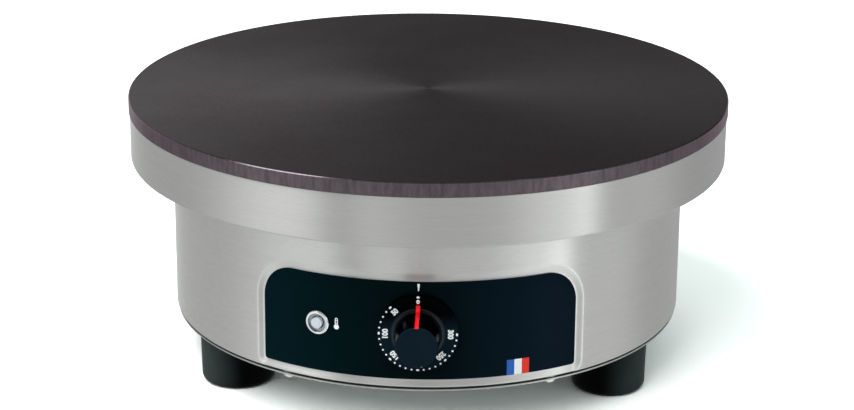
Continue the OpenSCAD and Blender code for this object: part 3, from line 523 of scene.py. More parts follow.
def knob_plastic():
    """Black plastic: blue-black on the face, with painted light and shade on the skirt (blue-black
    low down, black higher up), polished round the grip's foot.
    """
    black = display(0, 1, 2)
    skin = Finish("knob_black", black, 0.22)
    x, y, z = skin.axes(skin.place())
    depth = skin.math("MULTIPLY_ADD", y, -1.0, -panel_r)
    lift = skin.math("SUBTRACT", z, knob_z)
    turned_r = skin.math("SQRT", skin.plus(skin.times(x, x), skin.times(lift, lift)))
    top = SKIRT_H + GRIP_H
    on_face = skin.span(depth, top - 1.6 * MM, top - 0.6 * MM, 0, 1)
    cloud = skin.noise(60, 3)
    face = skin.mottled(cloud, display(8, 27, 36), display(15, 27, 38))
    skirt = skin.mottled(cloud, display(8, 26, 36), display(12, 27, 37))
    # Painted light and shade: the skirt is painted blue-black only where it is low in the world, as
    # light from below, and black higher up, as shade; this stays put while the knob turns
    world_z = skin.axes(skin.node("NewGeometry").outputs["Position"])[2]
    painted_low_light = skin.span(world_z, knob_z + 13 * MM, knob_z + 2 * MM, 0, 1)
    on_skirt = skin.span(depth, SKIRT_H + GRIP_FILLET, SKIRT_H + 0.6 * GRIP_FILLET, 0, 1)
    skirt = skin.blend(skin.times(painted_low_light, on_skirt), black, skirt)
    skin.paint(skin.blend(on_face, skirt, face))
    round_r = GRIP_BASE_R + GRIP_FILLET
    by_grip = skin.span(turned_r, round_r, GRIP_BASE_R + 0.8 * GRIP_FILLET, 0, 1)
    by_skirt = skin.span(depth, SKIRT_H + 2 * GRIP_FILLET, SKIRT_H + GRIP_FILLET, 0, 1)
    polished = skin.times(by_grip, by_skirt)
    skin.feed("Specular IOR Level", skin.span(polished, 0, 1, 0.02, 0.22))
    skin.feed("Roughness", skin.span(polished, 0, 1, 0.22, 0.06))
    skin.bump(skin.noise(4500, 3, 0.6), 0.006 * MM, 0.3)
    return skin.material


def rubber():
    """Black moulded rubber, with painted light on the sides that face out from under the body: they
    are painted a lighter grey.
    """
    skin = Finish("rubber_black", display(1, 1, 1), 0.5, Specular_IOR_Level=0.02,
                  Sheen_Weight=0.15, Sheen_Roughness=0.25, Sheen_Tint=(0.8, 1, 0.97, 1))
    rubber_blotch = skin.noise(70, 3, 0.6)
    # Painted light: each foot's side away from the plate's axis is painted a lighter grey, as light
    # from outside the body; the inner side stays black.
    from_axis = skin.polar()[0]
    side = skin.span(from_axis, foot_circle + 0.3 * foot_r, foot_circle + foot_r, 0, 1)
    rubber_own = skin.mottled(rubber_blotch, display(1, 1, 1), display(4, 5, 5), 0.4, 0.75)
    painted_side_light = skin.mottled(rubber_blotch, display(54, 63, 62), display(62, 71, 70))
    skin.paint(skin.blend(skin.math("POWER", side, 1.7), rubber_own, painted_side_light))
    skin.feed("Roughness", skin.varied(rubber_blotch, 0.45, 0.55))
    skin.bump(skin.noise(3000, 3, 0.6), 0.05 * MM, 0.35)
    return skin.material


def plain_metal(name, color, roughness):
    """Plated or bare metal with a faint uneven skin."""
    skin = Finish(name, color, roughness, 1.0)
    blotch = skin.noise(220, 3, 0.6)
    skin.feed("Roughness", skin.varied(blotch, roughness * 0.8, min(1, roughness * 1.25)))
    skin.paint(skin.mottled(blotch, scaled(color, 0.88), color))
    skin.bump(skin.noise(2600, 2), 0.03 * MM, 0.2)
    return skin.material


def ceramic(name, color, roughness):
    """Fired ceramic or pressed board with small pits."""
    skin = Finish(name, color, roughness)
    stain = skin.noise(60, 4, 0.6)
    skin.paint(skin.mottled(stain, color, scaled(color, 0.86), 0.35, 0.7))
    skin.bump(skin.cells(1400), 0.05 * MM, 0.3)
    return skin.material


def bezel_chrome():
    """Bright chrome on the ring, painted darker grey in the recess round the lens as shade."""
    skin = Finish("chrome", display(250, 252, 253), 0.14, 1.0)
    # Painted shade: the chrome is painted darker grey where it lies close to the panel, in the
    # recess round the lens.
    recess = skin.span(skin.polar()[0], panel_r + 1.5 * MM, panel_r + 0.9 * MM, 0, 1)
    blotch = skin.noise(900, 3, 0.6)
    bright = skin.mottled(blotch, display(236, 240, 243), display(252, 254, 255))
    skin.paint(skin.blend(recess, bright, display(142, 147, 155)))
    skin.feed("Roughness", skin.varied(blotch, 0.1, 0.17))
    skin.bump(blotch, 0.004 * MM, 0.2)
    return skin.material


def sleeve(name, color, second=None):
    """Wire insulation, with a woven or a striped skin."""
    skin = Finish(name, color, 0.5)
    inputs = dict(Vector=skin.place(), Scale=420, Distortion=1.5)
    weave = skin.node("TexWave", inputs, bands_direction="DIAGONAL").outputs["Fac"]
    skin.paint(skin.mottled(weave, color, second or scaled(color, 0.8), 0.4, 0.6))
    skin.bump(weave, 0.05 * MM, 0.3)
    return skin.material


def lens_plastic():
    """Pale plastic that lets a little light through, with a faceted skin."""
    skin = Finish("lens_moulded", display(218, 225, 233), 0.16,
                  Transmission_Weight=0.1, IOR=1.49)
    skin.bump(skin.cells(700), 0.05 * MM, 0.4)
    return skin.material


def print_ink(name, color):
    """Screen-printed ink with a slightly rough skin."""
    skin = Finish(name, color, 0.45)
    grain = skin.noise(5200, 2)
    skin.paint(skin.mottled(grain, scaled(color, 0.93), color))
    skin.bump(grain, 0.01 * MM, 0.3)
    return skin.material


# Painted light and shade: the collar's stainless is a darker copy of the body's (0.66 against
# 0.74), so the body's wall below the collar renders brighter than the collar.
COLLAR_STEEL = brushed_steel("brushed_stainless_collar", 0.66, 0.42)
BRIGHT_ZINC = plain_metal("screw_bright", display(246, 250, 248), 0.26)
INK_WHITE = print_ink("ink_white", display(245, 247, 248))
INK_BLUE = print_ink("ink_blue", display(6, 88, 183))
INK_RED = print_ink("ink_red", display(234, 30, 6))

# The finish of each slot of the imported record
FINISHES = {
    "brushed_stainless": brushed_steel("brushed_stainless_body", 0.74, 0.42),
    "cast_iron": cast_iron(),
    "bottom_steel": plain_metal("bottom_sheet", display(186, 190, 187), 0.36),
    "zinc_steel": plain_metal("zinc_plated", display(205, 207, 208), 0.34),
    "heater_sheath": plain_metal("heater_sheath_dull", display(120, 112, 104), 0.5),
    "foot_rubber": rubber(),
    "panel_gloss": panel_film(),
    "knob_plastic": knob_plastic(),
    "pointer_red": moulded_plastic("pointer_red_gloss", display(255, 20, 24), 0.25, gloss=0.4),
    "bezel_chrome": bezel_chrome(),
    "lens_clear": lens_plastic(),
    "lamp_plastic": moulded_plastic("lamp_body_black", display(20, 20, 22), 0.4),
    "terminal_brass": plain_metal("brass", display(214, 178, 106), 0.32),
    "bulb_copper": plain_metal("copper", display(206, 132, 96), 0.3),
    "seal_ceramic": ceramic("ceramic_cream", display(232, 226, 210), 0.4),
    "housing_phenolic": moulded_plastic("phenolic_brown", display(62, 44, 34), 0.4),
    "mineral_board": ceramic("mineral_board_pale", display(222, 218, 206), 0.85),
    "gland_plastic": moulded_plastic("gland_black", display(26, 26, 28), 0.42),
    "gland_rubber": moulded_plastic("gland_rubber_grey", display(46, 46, 48), 0.6, 0.04),
    "wire_brown": sleeve("wire_brown_skin", display(98, 62, 40)),
    "wire_glass_sleeve": sleeve("wire_glass_skin", display(214, 210, 196)),
    "wire_grey": sleeve("wire_grey_skin", display(62, 62, 66)),
    "wire_green_yellow": sleeve("wire_green_yellow_skin", display(58, 132, 62),
                                display(222, 206, 60)),
}


def dress_cad_nodes():
    """Every CAD node gets the finish of its slot."""
    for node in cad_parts.values():
        for k, slot in enumerate(node.data.materials):
            node.data.materials[k] = FINISHES[slot.name.split(".")[0]]


# ---- Sheet metal and castings

def make_plate():
    """The griddle: turned top, eased edge, nesting step, element grooves and three bosses."""
    rim_low = collar_top + 0.3 * MM
    step_r, step_low = 191.8 * MM, rim_low - 5 * MM
    groove_z, groove_r = step_low - 2 * MM, 4.05 * MM
    inner_loop_r, outer_loop_r = 76 * MM, 142.2 * MM
    boss_circle, boss_r, bore_r, boss_low = 161.2 * MM, 11 * MM, 4.05 * MM, plate_low.z
    ease, soft = 0.7 * MM, 0.25 * MM

    def groove(middle):
        """Where the round of a heating tube cuts the underside, from the inside out."""
        half = math.acos((step_low - groove_z) / groove_r)
        arc = [half - 2 * half * k / 8 for k in range(9)]
        return [(middle - groove_r * math.sin(a), groove_z + groove_r * math.cos(a)) for a in arc]

    under = [(0, step_low)] + groove(inner_loop_r) + groove(outer_loop_r)
    edge = rounded([
        (0, step_low, 0), (step_r, step_low, 0.6 * MM), (step_r, rim_low, 0.3 * MM),
        (plate_r, rim_low, 0.4 * MM), (plate_r, plate_top - ease, soft),
        (plate_r - ease, plate_top, soft), (0, plate_top, 0)])
    # Rings across the top keep its faces short
    top = [(plate_r * k / 8, plate_top) for k in range(7, 0, -1)]
    shape = lathe(under + edge[1:-1] + top + edge[-1:], 360)
    boss = lathe(rounded([
        (bore_r, boss_low, 0.2 * MM), (boss_r, boss_low, 0.8 * MM),
        (boss_r, step_low + MM, 0), (bore_r, step_low + MM, 0)]), 48)
    for place in around(3, 90, boss_circle):
        shape.add(boss, place)
    weigh_normals(make_piece("plate_turned", shape, "base", "griddle_plate", slot="cast_iron"))


def make_collar():
    """The collar sheet with its rolled lower edge and its flange under the plate."""
    bend = 1.8 * MM
    shape = lathe(rounded([
        (FLANGE_R, z_step, 0.2 * MM), (collar_r, z_step, bend), (collar_r, collar_top, 0.35 * MM),
        (collar_r - SHEET, collar_top, 0.2 * MM), (collar_r - SHEET, z_step + SHEET, bend - SHEET),
        (FLANGE_R, z_step + SHEET, 0.2 * MM)]), 360)
    weigh_normals(make_piece("collar_formed", shape, "base", "collar_band",
                             slot="brushed_stainless", material=COLLAR_STEEL))


def panel_distance(arc, height):
    """Distance outside the panel's rounded outline, along the wall."""
    corner = PANEL_TOP_R if height > panel_mid else PANEL_BOTTOM_R
    dx = abs(arc) - half_panel + corner
    dz = abs(height - panel_mid) - panel_half_h + corner
    return math.hypot(max(dx, 0), max(dz, 0)) + min(max(dx, dz), 0) - corner


def pressed_share(distance):
    """How deep the wall lies: 1 under the panel, 0 past the border, with a bend at both ends."""
    t = min(max((distance - BORDER_START) / BORDER_W, 0), 1)
    bend = 2 * BORDER_BEND * (1 - BORDER_BEND)
    if t < BORDER_BEND:
        return 1 - t * t / bend
    if t > 1 - BORDER_BEND:
        return (1 - t) ** 2 / bend
    return 1 - (t - BORDER_BEND / 2) / (1 - BORDER_BEND)


def rear_depth(angle, height):
    """How far the pressed flat behind the gland lies inside the round wall."""
    away = abs(abs(angle) - math.pi)
    if away > FLAT_REACH:
        return 0
    t = min(max((FLAT_H / 2 + FLAT_SLOPE - abs(height - gland_z)) / FLAT_SLOPE, 0), 1)
    return max(body_r - gland_flat / math.cos(away), 0) * t * t * (3 - 2 * t)


def steps_between(marks):
    """Positions through marks (start, step) up to the last start."""
    values = []
    for (start, step), (end, _) in zip(marks, marks[1:]):
        count = max(1, round((end - start) / step))
        values += [start + (end - start) * k / count for k in range(count)]
    return values + [marks[-1][0]]


def make_body():
    """The body sheet: rolled edges, the pressed border round the panel and the flat at the rear."""
    fine, plain = 0.75 * MM, 3 * MM
    # Faces are small where the pressed border runs, and fairly small at the flat at the rear
    side, front, rear = 78 * MM, 113 * MM, math.pi * body_r
    rear_start = rear - 44 * MM
    lower_end, upper_start, upper_end = 57 * MM, 84 * MM, 118 * MM
    half = steps_between([
        (0, plain), (side, fine), (front, 5 * MM), (rear_start, 2.5 * MM), (rear, fine)])
    arcs = [-a for a in reversed(half[1:])] + half[:-1]
    low, high = z_body + WALL_BEND_R, z_step - WALL_BEND_R
    heights = steps_between([
        (low, fine), (lower_end, 4 * MM), (upper_start, fine), (upper_end, 5 * MM), (high, fine)])

    def wall_radius(arc, height):
        share = pressed_share(panel_distance(arc, height)) if abs(arc) < front else 0
        return body_r - POCKET_DEPTH * share - rear_depth(arc / body_r, height)

    bends = [math.pi / 2 * k / 6 for k in range(1, 7)]
    rows = [("ring", BASE_FLANGE_R, z_body)]
    rows += [("bend", low, -a) for a in reversed(bends)]
    rows += [("wall", z, 0) for z in heights]
    rows += [("bend", high, a) for a in bends]
    rows += [("ring", FLANGE_R, z_step)]

    def point(arc, kind, value, extra):
        """A ring has a radius and a height, a wall or a bend has a height and a turn."""
        if kind == "ring":
            radius, z = value, extra
        else:
            radius = wall_radius(arc, value) - WALL_BEND_R * (1 - math.cos(extra))
            z = value + WALL_BEND_R * math.sin(extra)
        if kind == "wall" and abs(arc) < front:
            return wall_point(arc, z, radius)
        return radius * math.sin(arc / body_r), -radius * math.cos(arc / body_r), z

    shape = Shape()
    shape.faces = bridge([shape.ring(point(arc, *row) for arc in arcs) for row in rows])
    piece = make_piece("body_formed", shape, "base", "body_shell",
                       slot="brushed_stainless", sharp=40)
    sheet = piece.modifiers.new("sheet", "SOLIDIFY")
    sheet.thickness = SHEET
    sheet.offset = -1
    sheet.use_even_offset = True


def make_body_feet():
    """Small pressed feet of the lower flange, where the bottom screws draw the bottom plate up."""
    low, high = z_bottom + bottom_t, z_body + SHEET
    hole_r, press_r = 2.05 * MM, PRESS_D / 2
    foot = lathe(rounded([
        (hole_r, low, 0), (press_r, low, 0.5 * MM), (press_r, high, 0), (press_r - SHEET, high, 0),
        (press_r - SHEET, low + SHEET, 0.3 * MM), (hole_r, low + SHEET, 0)]), 32)
    shape = Shape()
    for place in around(SCREW_COUNT, 0, screw_high.x - SCREW_HEAD_R):
        shape.add(foot, place)
    make_piece("body_pressed_feet", shape, "base", slot="brushed_stainless")


# ---- Panel and its prints

def panel_outline(inset):
    """The panel's outline in arc and height: an upper and a lower chain from left to right."""
    chains = []
    for corner, side in ((PANEL_TOP_R, 1), (PANEL_BOTTOM_R, -1)):
        w, h, r = half_panel - inset, panel_half_h - inset, corner - inset
        bend = [math.pi / 2 * k / 20 for k in range(21)]
        left = [(-w + r - r * math.cos(a), h - r + r * math.sin(a)) for a in bend]
        middle = [(-(w - r) + 2 * (w - r) * k / 60, h) for k in range(1, 60)]
        chain = left + middle + [(-x, y) for x, y in reversed(left)]
        chains.append([(x, panel_mid + side * y) for x, y in chain])
    return chains


def make_panel():
    """The panel as one curved sheet with an eased edge."""
    shape = Shape()
    ease = 0.15 * MM
    rings = []
    for inset, depth in ((0, PANEL_T), (0, ease), (0.3 * ease, 0.3 * ease), (ease, 0)):
        upper, lower = panel_outline(inset)
        loop = lower + list(reversed(upper))
        rings.append(shape.ring(wall_point(arc, z, panel_r - depth) for arc, z in loop))
    shape.faces = bridge(rings)
    for depth, inset, flip in ((0, ease, False), (PANEL_T, 0, True)):
        upper, lower = panel_outline(inset)
        rows = []
        for t in [k / 8 for k in range(9)]:
            line = [(a0 + (a1 - a0) * t, z0 + (z1 - z0) * t)
                    for (a0, z0), (a1, z1) in zip(lower, upper)]
            rows.append(shape.ring(wall_point(arc, z, panel_r - depth) for arc, z in line))
        faces = bridge(rows, closed_rings=False)
        shape.faces += [tuple(reversed(f)) for f in faces] if flip else faces
    make_piece("panel_overlay", shape, "base", "control_panel", slot="panel_gloss", merge=True)


def printed(name, shape, ink, arc, height):
    """A flat print on the panel's face."""
    solid = shape.bent(lambda p: wall_point(arc + p.x, height + p.y, panel_r + p.z))
    make_piece(name, solid, "base", material=ink)


def make_panel_prints():
    """The index over the dial, a thermometer sign beside the lamp and a three-colour block."""
    low, high = -PRINT_SINK, PRINT_T

    foot, head, tall = 0.3 * MM, 0.8 * MM, 4.8 * MM
    index = rounded([(foot, 0, 0.25 * MM), (head, tall, 0.25 * MM),
                     (-head, tall, 0.25 * MM), (-foot, 0, 0.25 * MM)], 4)
    printed("panel_index", prism(index, low, high), INK_WHITE, 0.12 * MM, panel_high.z - 5.9 * MM)

    # The bulb and the ticks stand a little over the tube that they cross
    wall, tube_w, tube_h, bulb_r = 0.5 * MM, 2 * MM, 6 * MM, 1.7 * MM
    outside = capsule(tube_h, tube_w)
    inside = [(x * (1 - 2 * wall / tube_w), wall + y * (1 - 2 * wall / tube_h)) for x, y in outside]
    sign = frame_prism(outside, inside, low, high)
    sign.add(prism(circle_points(bulb_r, 32), low, high * 1.05))
    tick_half_w, tick_half_h = 0.55 * MM, 0.25 * MM
    tick = [(x * tick_half_w, y * tick_half_h) for x, y in SQUARE]
    for height in (2.5 * MM, 4.2 * MM):
        sign.add(prism(tick, low, high * 1.1), Matrix.Translation((0, height, 0)))
    printed("thermometer_sign", sign, INK_WHITE, LAMP_ARC + 12.75 * MM, panel_low.z + 31.1 * MM)

    block_w, block_h, parts = 14.9 * MM, 10.3 * MM, 3
    stripes = (("blue", INK_BLUE), ("white", INK_WHITE), ("red", INK_RED))
    stripe_w = block_w / len(stripes)
    for k, (label, ink) in enumerate(stripes):
        shape = Shape()
        for part in range(parts):
            left = (k + part / parts) * stripe_w
            right = left + stripe_w / parts
            shape.add(prism([(left, 0), (right, 0), (right, block_h), (left, block_h)], low, high))
        printed("stripe_" + label, shape, ink, 56.3 * MM, panel_low.z + 0.15 * MM)


# ---- Knob and lamp

def make_knob():
    """The dial skirt and the tapered grip, hollow under the skirt."""
    wall, face, hub = 1.6 * MM, 2 * MM, 7 * MM
    top = SKIRT_H + GRIP_H
    profile = rounded([
        (0, SKIRT_GAP, 0), (hub, SKIRT_GAP, 0), (hub, SKIRT_H - face, 0),
        (skirt_r - wall, SKIRT_H - face, 0.3 * MM), (skirt_r - wall, SKIRT_GAP, 0.2 * MM),
        (skirt_r, SKIRT_GAP, 0.3 * MM), (skirt_r, SKIRT_H, 0.4 * MM),
        (GRIP_BASE_R, SKIRT_H, GRIP_FILLET), (GRIP_FACE_R, top, 1.1 * MM), (0, top, 0)], 12)
    shape = lathe(profile, 192).placed(panel_place(0, knob_z))
    weigh_normals(make_piece("knob_moulded", shape, "knob", "control_knob",
                             slot="knob_plastic", sharp=40))


def make_pointer():
    """The red insert that lies along the skirt and up the grip, with a crowned face."""
    proud, half_w, sink = 0.35 * MM, 1.3 * MM, 0.6 * MM
    top = SKIRT_H + GRIP_H
    side = rounded([
        (POINTER_REACH, SKIRT_H - sink, 0), (POINTER_REACH, SKIRT_H + proud, 0.3 * MM),
        (GRIP_BASE_R + proud, SKIRT_H + proud, GRIP_FILLET - proud),
        (GRIP_FACE_R + proud, top, 0.5 * MM), (GRIP_FACE_R - sink, top, 0),
        (GRIP_BASE_R - sink, SKIRT_H - sink, 0)], 8)
    upright = prism(side, -half_w, half_w).bent(lambda p: (p.z, p.x, p.y))
    shape = upright.placed(panel_place(0, knob_z))
    piece = make_piece("pointer_insert", shape, "knob", "knob_pointer", slot="pointer_red")
    edge = piece.modifiers.new("edge", "BEVEL")
    edge.width = 0.7 * MM
    edge.segments = 4
    edge.limit_method = "ANGLE"
    edge.angle_limit = math.radians(50)
    weigh_normals(piece)


def make_dial():
    """Dots, dashes and figures on the skirt. They turn with the knob."""
    dot_circle, figure_circle, zero_circle = 24.15 * MM, 20.3 * MM, 21.2 * MM
    figure_h, zero_h, digit_w = 3.7 * MM, 2.7 * MM, 2.05 * MM
    low, high = SKIRT_H - PRINT_SINK, SKIRT_H + PRINT_T
    place = panel_place(0, knob_z)
    lift = Matrix.Translation((0, 0, (low + high) / 2))
    last_mark, degrees_per_mark, heat_per_mark, dots_between = 6, 45, 50, 4
    marks, figures = Shape(), Shape()

    dash_w, dash_h = 1.8 * MM, 1.2 * MM
    dash = rounded([(x * dash_w / 2, y * dash_h / 2, 0.45 * MM) for x, y in SQUARE], 4)
    dash = prism(dash, low, high)
    dot = prism(circle_points(0.6 * MM, 20), low, high)
    for k in range(last_mark + 1):
        degrees = k * degrees_per_mark
        marks.add(dash, turned(degrees, 0, dot_circle))
        text = str(heat_per_mark * k)
        shape = number_shape(text, figure_h if k else zero_h, digit_w, high - low)
        figures.add(shape, turned(degrees, 0, figure_circle if k else zero_circle) @ lift)
        if 0 < k < last_mark:
            for d in range(1, dots_between + 1):
                between = degrees + d * degrees_per_mark / (dots_between + 1)
                marks.add(dot, turned(between, 0, dot_circle))
    make_piece("dial_marks", marks.placed(place), "knob", material=INK_WHITE)
    make_piece("dial_figures", figures.placed(place), "knob", material=INK_WHITE)


def make_lamp():
    """The chromed bezel with its inner step, and the round-topped lens."""
    place = panel_place(LAMP_ARC, lamp_z)
    neck_r, bore_r, back = 5 * MM, 4.15 * MM, -14 * MM
    seat, bezel_r, bezel_h, step_r, step_h = 0.02 * MM, 8 * MM, 2.2 * MM, 6.1 * MM, 1.7 * MM
    profile = rounded([
        (bore_r, back, 0), (neck_r, back, 0.3 * MM), (neck_r, seat, 0), (bezel_r, seat, 0.1 * MM),
        (bezel_r, bezel_h, 1.5 * MM), (step_r, bezel_h, 0.35 * MM),
        (step_r, bezel_h - step_h, 0.2 * MM), (bore_r, bezel_h - step_h, 0.2 * MM)], 8)
    bezel = lathe(profile, 96).placed(place)
    weigh_normals(make_piece("bezel_turned", bezel, "base", "lamp_bezel",
                             slot="bezel_chrome", sharp=40))

    lens_r, lens_h, lens_back, crown = 3.6 * MM, 3.4 * MM, -3 * MM, 0.9 * MM
    ring_depth, ring_w = 0.3 * MM, 1.3 * MM
    ball = (lens_r * lens_r + crown * crown) / (2 * crown)
    top = []
    for k in range(49):
        r = lens_r * (1 - k / 48)
        height = lens_h - ball + math.sqrt(ball * ball - r * r)
        ridge = abs(math.sin(math.pi * r / ring_w))
        top.append((r, height - ring_depth * (1 - ridge) ** 2))
    lens = lathe([(0, lens_back), (lens_r, lens_back)] + top, 64).placed(place)
    make_piece("lens_domed", lens, "base", "lamp_lens", slot="lens_clear")


# ---- Feet, bottom screws and cable gland

def make_feet():
    """Three rubber feet, hollow round the heads of their bolts."""
    hole_r, hollow_r, hollow_top, low_r = 3.2 * MM, 8.5 * MM, 22 * MM, foot_r - 0.7 * MM
    profile = rounded([
        (hole_r, hollow_top, 0), (hollow_r, hollow_top, 0.5 * MM), (hollow_r, 0, 0.6 * MM),
        (low_r, 0, 5 * MM), (foot_r, z_bottom, 0.5 * MM), (hole_r, z_bottom, 0)], 8)
    shape = lathe(profile, 128)
    for degrees, node in ((90, "foot_rear"), (210, "foot_front_left"), (330, "foot_front_right")):
        foot = shape.placed(turned(degrees, foot_circle))
        weigh_normals(make_piece(node + "_rubber", foot, "base", node, slot="foot_rubber"))


def make_bottom_screws():
    """Pan-head screws with a cross recess, heads down."""
    head_r, head_h, shank_r, shank_h = SCREW_HEAD_R, 3.9 * MM, 2 * MM, 8 * MM
    slot_half, slot_reach, slot_depth, slot_edge = 0.45 * MM, 2.3 * MM, 1.1 * MM, 0.3 * MM
    ball = (head_r * head_r + head_h * head_h) / (2 * head_h)

    def dome(x, y):
        r = math.hypot(x, y)
        height = math.sqrt(ball * ball - r * r) - (ball - head_h)
        arm = min(abs(x), abs(y))
        reach = max(abs(x), abs(y))
        inside = min(max((slot_half - arm) / slot_edge + 0.5, 0), 1)
        inside *= min(max((slot_reach - reach) / MM, 0), 1)
        return max(height, 0) - slot_depth * inside * (height > slot_depth)

    segments, count = 64, 16
    screw = Shape()
    rings = [screw.ring([(0, 0, -dome(0, 0))]) * segments]
    for k in range(1, count + 1):
        circle = circle_points(head_r * k / count, segments)
        rings.append(screw.ring((x, y, -dome(x, y)) for x, y in circle))
    for z in (0, shank_h):
        rings.append(screw.ring((x, y, z) for x, y in circle_points(shank_r, segments)))
    rings.append(screw.ring([(0, 0, shank_h)]) * segments)
    screw.faces = bridge(rings)
    shape = Shape()
    for place in around(SCREW_COUNT, 0, screw_high.x - head_r):
        shape.add(screw, Matrix.Translation((0, 0, z_bottom)) @ place)
    make_piece("bottom_screws_pan", shape, "base", "bottom_screws",
               slot="zinc_steel", material=BRIGHT_ZINC)


def hexagon(across_flats):
    """A radius rule for lathe(): a hexagon that the profile's own radius trims."""
    def rule(radius, angle):
        sector = (angle + math.pi / 6) % (math.pi / 3) - math.pi / 6
        return min(radius, across_flats / 2 / math.cos(sector))
    return rule


def make_gland():
    """The cable gland: hexagon body, dome nut and the rubber seal in its mouth."""
    place = Matrix.Translation((0, gland_flat, gland_z)) @ Matrix.Rotation(-math.pi / 2, 4, "X")
    flats = 24 * MM
    corner = flats / 2 / math.cos(math.pi / 6)
    bore_r, thread_r, inner_end = 7 * MM, 10 * MM, -9 * MM
    collar_h, neck_r, neck_end = 6 * MM, 9.5 * MM, 17 * MM
    body = lathe(rounded([
        (bore_r, inner_end, 0), (thread_r, inner_end, 0.4 * MM), (thread_r, 0, 0),
        (corner, 0, 0.3 * MM), (corner, collar_h, 1.1 * MM), (neck_r, collar_h, 0),
        (neck_r, neck_end, 0.3 * MM), (bore_r, neck_end, 0)], 6), 144, hexagon(flats))
    nut_r, start, shoulder = 9.55 * MM, 6.3 * MM, 17.3 * MM
    dome_r, mouth_r = 8.5 * MM, 6.5 * MM
    nut = lathe(rounded([
        (nut_r, start, 0), (corner, start, MM), (corner, shoulder, 1.2 * MM),
        (dome_r, GLAND_H, 0.8 * MM), (mouth_r, GLAND_H, 0.4 * MM), (mouth_r, shoulder, 0),
        (nut_r, shoulder, 0)], 6), 144, hexagon(flats))
    seal_r, cable_r, seal_start = 6.95 * MM, 6 * MM, 2 * MM
    seal = lathe(rounded([
        (cable_r, seal_start, 0.5 * MM), (seal_r, seal_start, 0.2 * MM),
        (seal_r, shoulder, 0.2 * MM), (cable_r, shoulder, 0.6 * MM)], 5), 64)
    for node, shape, slot in (("gland_body", body, "gland_plastic"),
                              ("gland_nut", nut, "gland_plastic"),
                              ("gland_seal", seal, "gland_rubber")):
        make_piece(node + "_moulded", shape.placed(place), "base", node, slot=slot)


# ---- Stage

def make_camera():
    azimuth, elevation = math.radians(CAMERA_AZIMUTH), math.radians(CAMERA_ELEVATION)
    back = Vector((math.sin(azimuth) * math.cos(elevation),
                   -math.cos(azimuth) * math.cos(elevation), math.sin(elevation)))
    right = Vector((math.cos(azimuth), math.sin(azimuth), 0))
    camera = add_object("camera", bpy.data.cameras.new("camera"))
    camera.data.lens = CAMERA_LENS
    camera.data.sensor_width = SENSOR
    camera.data.clip_end = 20
    look = (Matrix.Rotation(azimuth, 4, "Z")
            @ Matrix.Rotation(math.radians(90 - CAMERA_PITCH), 4, "X")
            @ Matrix.Rotation(math.radians(CAMERA_ROLL), 4, "Z"))
    eye = Vector((0, 0, plate_top)) + back * CAMERA_DISTANCE + right * CAMERA_SHIFT
    camera.matrix_world = Matrix.Translation(eye) @ look
    bpy.context.scene.camera = camera


# The studio as reflections see it. Each box: its middle and half width in degrees from the front
# towards the right, the width of its soft edge, and its level over the plain wall
ROOM_LEVEL = 0.57
ROOM_BOXES = [
    (63, 1.6, 3, 1.60),
    (51, 0, 23, 0.41),
    (-1, 32, 51, 0.10),
    (-50, 11, 42, 0.33),
    (-33, 1, 10, -0.52),
    (-164, 7, 14, 0.27),
    (91, 4, 21, 0.16),
    (176, 6, 8, 0.18),
    (-122, 4, 24, -0.06),
]
# Over the horizon the room is darker behind on the right and lighter on the left,
# and it is dark towards the ceiling
ROOM_ABOVE = [
    (150, 20, 30, -0.46),
    (-140, 20, 30, 0.2),
]
CEILING_SHARE = 0.35
ROOM_TINT = (0.985, 1, 0.99, 1)
EVEN_LOW = 0.26
EVEN_HIGH = 0.62
EVEN_TINT = (0.9, 1, 0.98, 1)


def make_world():
    """White for the camera, the studio for reflections, and even light for the rest."""
    world = bpy.data.worlds.new("studio")
    bpy.context.scene.world = world
    world.use_nodes = True
    world.node_tree.nodes.clear()
    sky = Nodes(world.node_tree)
    direction = sky.node("TexCoord").outputs["Generated"]
    height = sky.axes(direction)[2]

    def combine(operation, a, b=(0, 0, 0)):
        return sky.node("VectorMath", {0: a, 1: b}, operation=operation).outputs

    level = combine("NORMALIZE", combine("MULTIPLY", direction, (1, 1, 0))[0])[0]

    def box(middle, half, soft, strength):
        a = math.radians(middle)
        facing = combine("DOT_PRODUCT", level, (math.sin(a), -math.cos(a), 0))["Value"]
        away = sky.math("ARCCOSINE", facing)
        return sky.fade(away, math.radians(half), math.radians(half + soft), strength, 0.0)

    def background(color, strength):
        return sky.node("Background", {"Color": color, "Strength": strength}).outputs[0]

    boxes = 0.0
    for numbers in ROOM_BOXES:
        boxes = sky.plus(boxes, box(*numbers))
    above = sky.fade(height, 0.05, 0.2, 0.0, 1.0)
    shaded = 0.0
    for numbers in ROOM_ABOVE:
        shaded = sky.plus(shaded, sky.times(above, box(*numbers)))
    walls = sky.plus(sky.plus(ROOM_LEVEL, boxes), shaded)
    total = sky.times(walls, sky.fade(height, 0.35, 0.75, 1.0, CEILING_SHARE))
    even = background(EVEN_TINT, sky.fade(height, 0.15, 0.6, EVEN_LOW, EVEN_HIGH))
    white = background((1, 1, 1, 1), 1.0)
    path = sky.node("LightPath").outputs
    lit = sky.choose(path["Is Glossy Ray"], even, background(ROOM_TINT, total))
    clear = sky.choose(path["Is Transmission Ray"], lit, white)
    sky.node("OutputWorld", {"Surface": sky.choose(path["Is Camera Ray"], clear, white)})


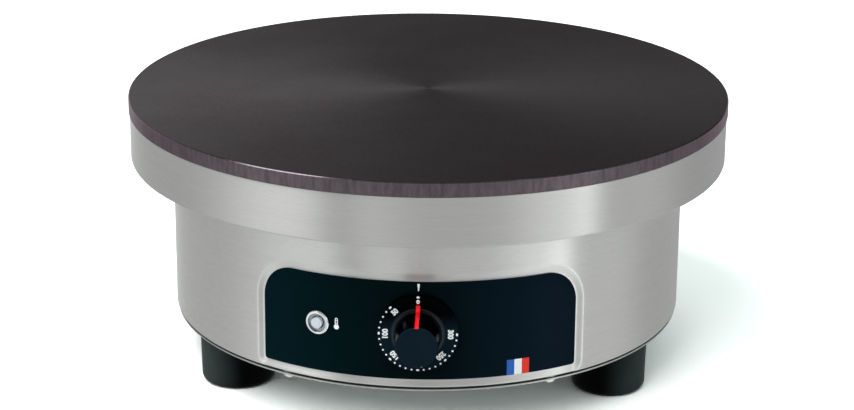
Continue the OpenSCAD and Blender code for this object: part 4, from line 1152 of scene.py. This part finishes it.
def make_lamp_box(name, direction, distance, size, power, mirrored=False):
    """A square soft box that looks at the object: a mirrored one only shows in reflections."""
    light = bpy.data.lights.new(name, "AREA")
    light.shape = "SQUARE"
    light.size = size
    light.energy = power
    box = add_object(name, light)
    aim = Vector((0, 0, plate_top / 2))
    away = Vector(direction).normalized()
    box.location = aim + away * distance
    box.rotation_mode = "QUATERNION"
    box.rotation_quaternion = away.to_track_quat("Z", "Y")
    box.visible_camera = False
    box.visible_glossy = mirrored
    box.visible_diffuse = not mirrored


FLOOR_SHOWN = (1.88, 1.88, 1.87, 1)
FLOOR_PAPER = (0.8, 0.8, 0.8, 1)


def make_floor():
    """A pale floor that keeps the object's shadow and is white away from it.

    The first bounce off metal passes through it, so that metal shows the studio's own walls.
    """
    half = 6
    mesh = bpy.data.meshes.new("floor")
    mesh.from_pydata([(half * x, half * y, 0) for x, y in SQUARE], [], [(0, 1, 2, 3)])
    floor = add_object("floor", mesh)
    material = bpy.data.materials.new("floor_paper")
    material.use_nodes = True
    material.node_tree.nodes.clear()
    layers = Nodes(material.node_tree)
    path = layers.node("LightPath").outputs
    paper = layers.node("BsdfDiffuse", {"Color": FLOOR_PAPER}).outputs[0]
    shown = layers.node("BsdfDiffuse", {"Color": FLOOR_SHOWN}).outputs[0]
    seen = layers.choose(path["Is Camera Ray"], paper, shown)
    first = layers.math("LESS_THAN", path["Ray Depth"], 1.5)
    bounce = layers.times(path["Is Glossy Ray"], first)
    clear = layers.node("BsdfTransparent").outputs[0]
    layers.node("OutputMaterial", {0: layers.choose(bounce, seen, clear)})
    mesh.materials.append(material)


make_camera()
make_world()
make_lamp_box("overhead", (-0.28, -0.28, 1), 1.8, 0.6, 15)
make_lamp_box("front", (-0.28, -0.8, 0.7), 1.6, 0.8, 10)
make_lamp_box("back_light", (-0.28, 1, 0.33), 1.3, 0.5, 0.19, mirrored=True)
make_lamp_box("edge_light", (-0.5, -0.1, 0.86), 1.6, 0.7, 9, mirrored=True)
make_floor()

dress_cad_nodes()
make_plate()
make_collar()
make_body()
make_body_feet()
make_panel()
make_panel_prints()
make_knob()
make_pointer()
make_dial()
make_lamp()
make_feet()
make_bottom_screws()
make_gland()

bpy.context.scene.view_settings.view_transform = "Standard"
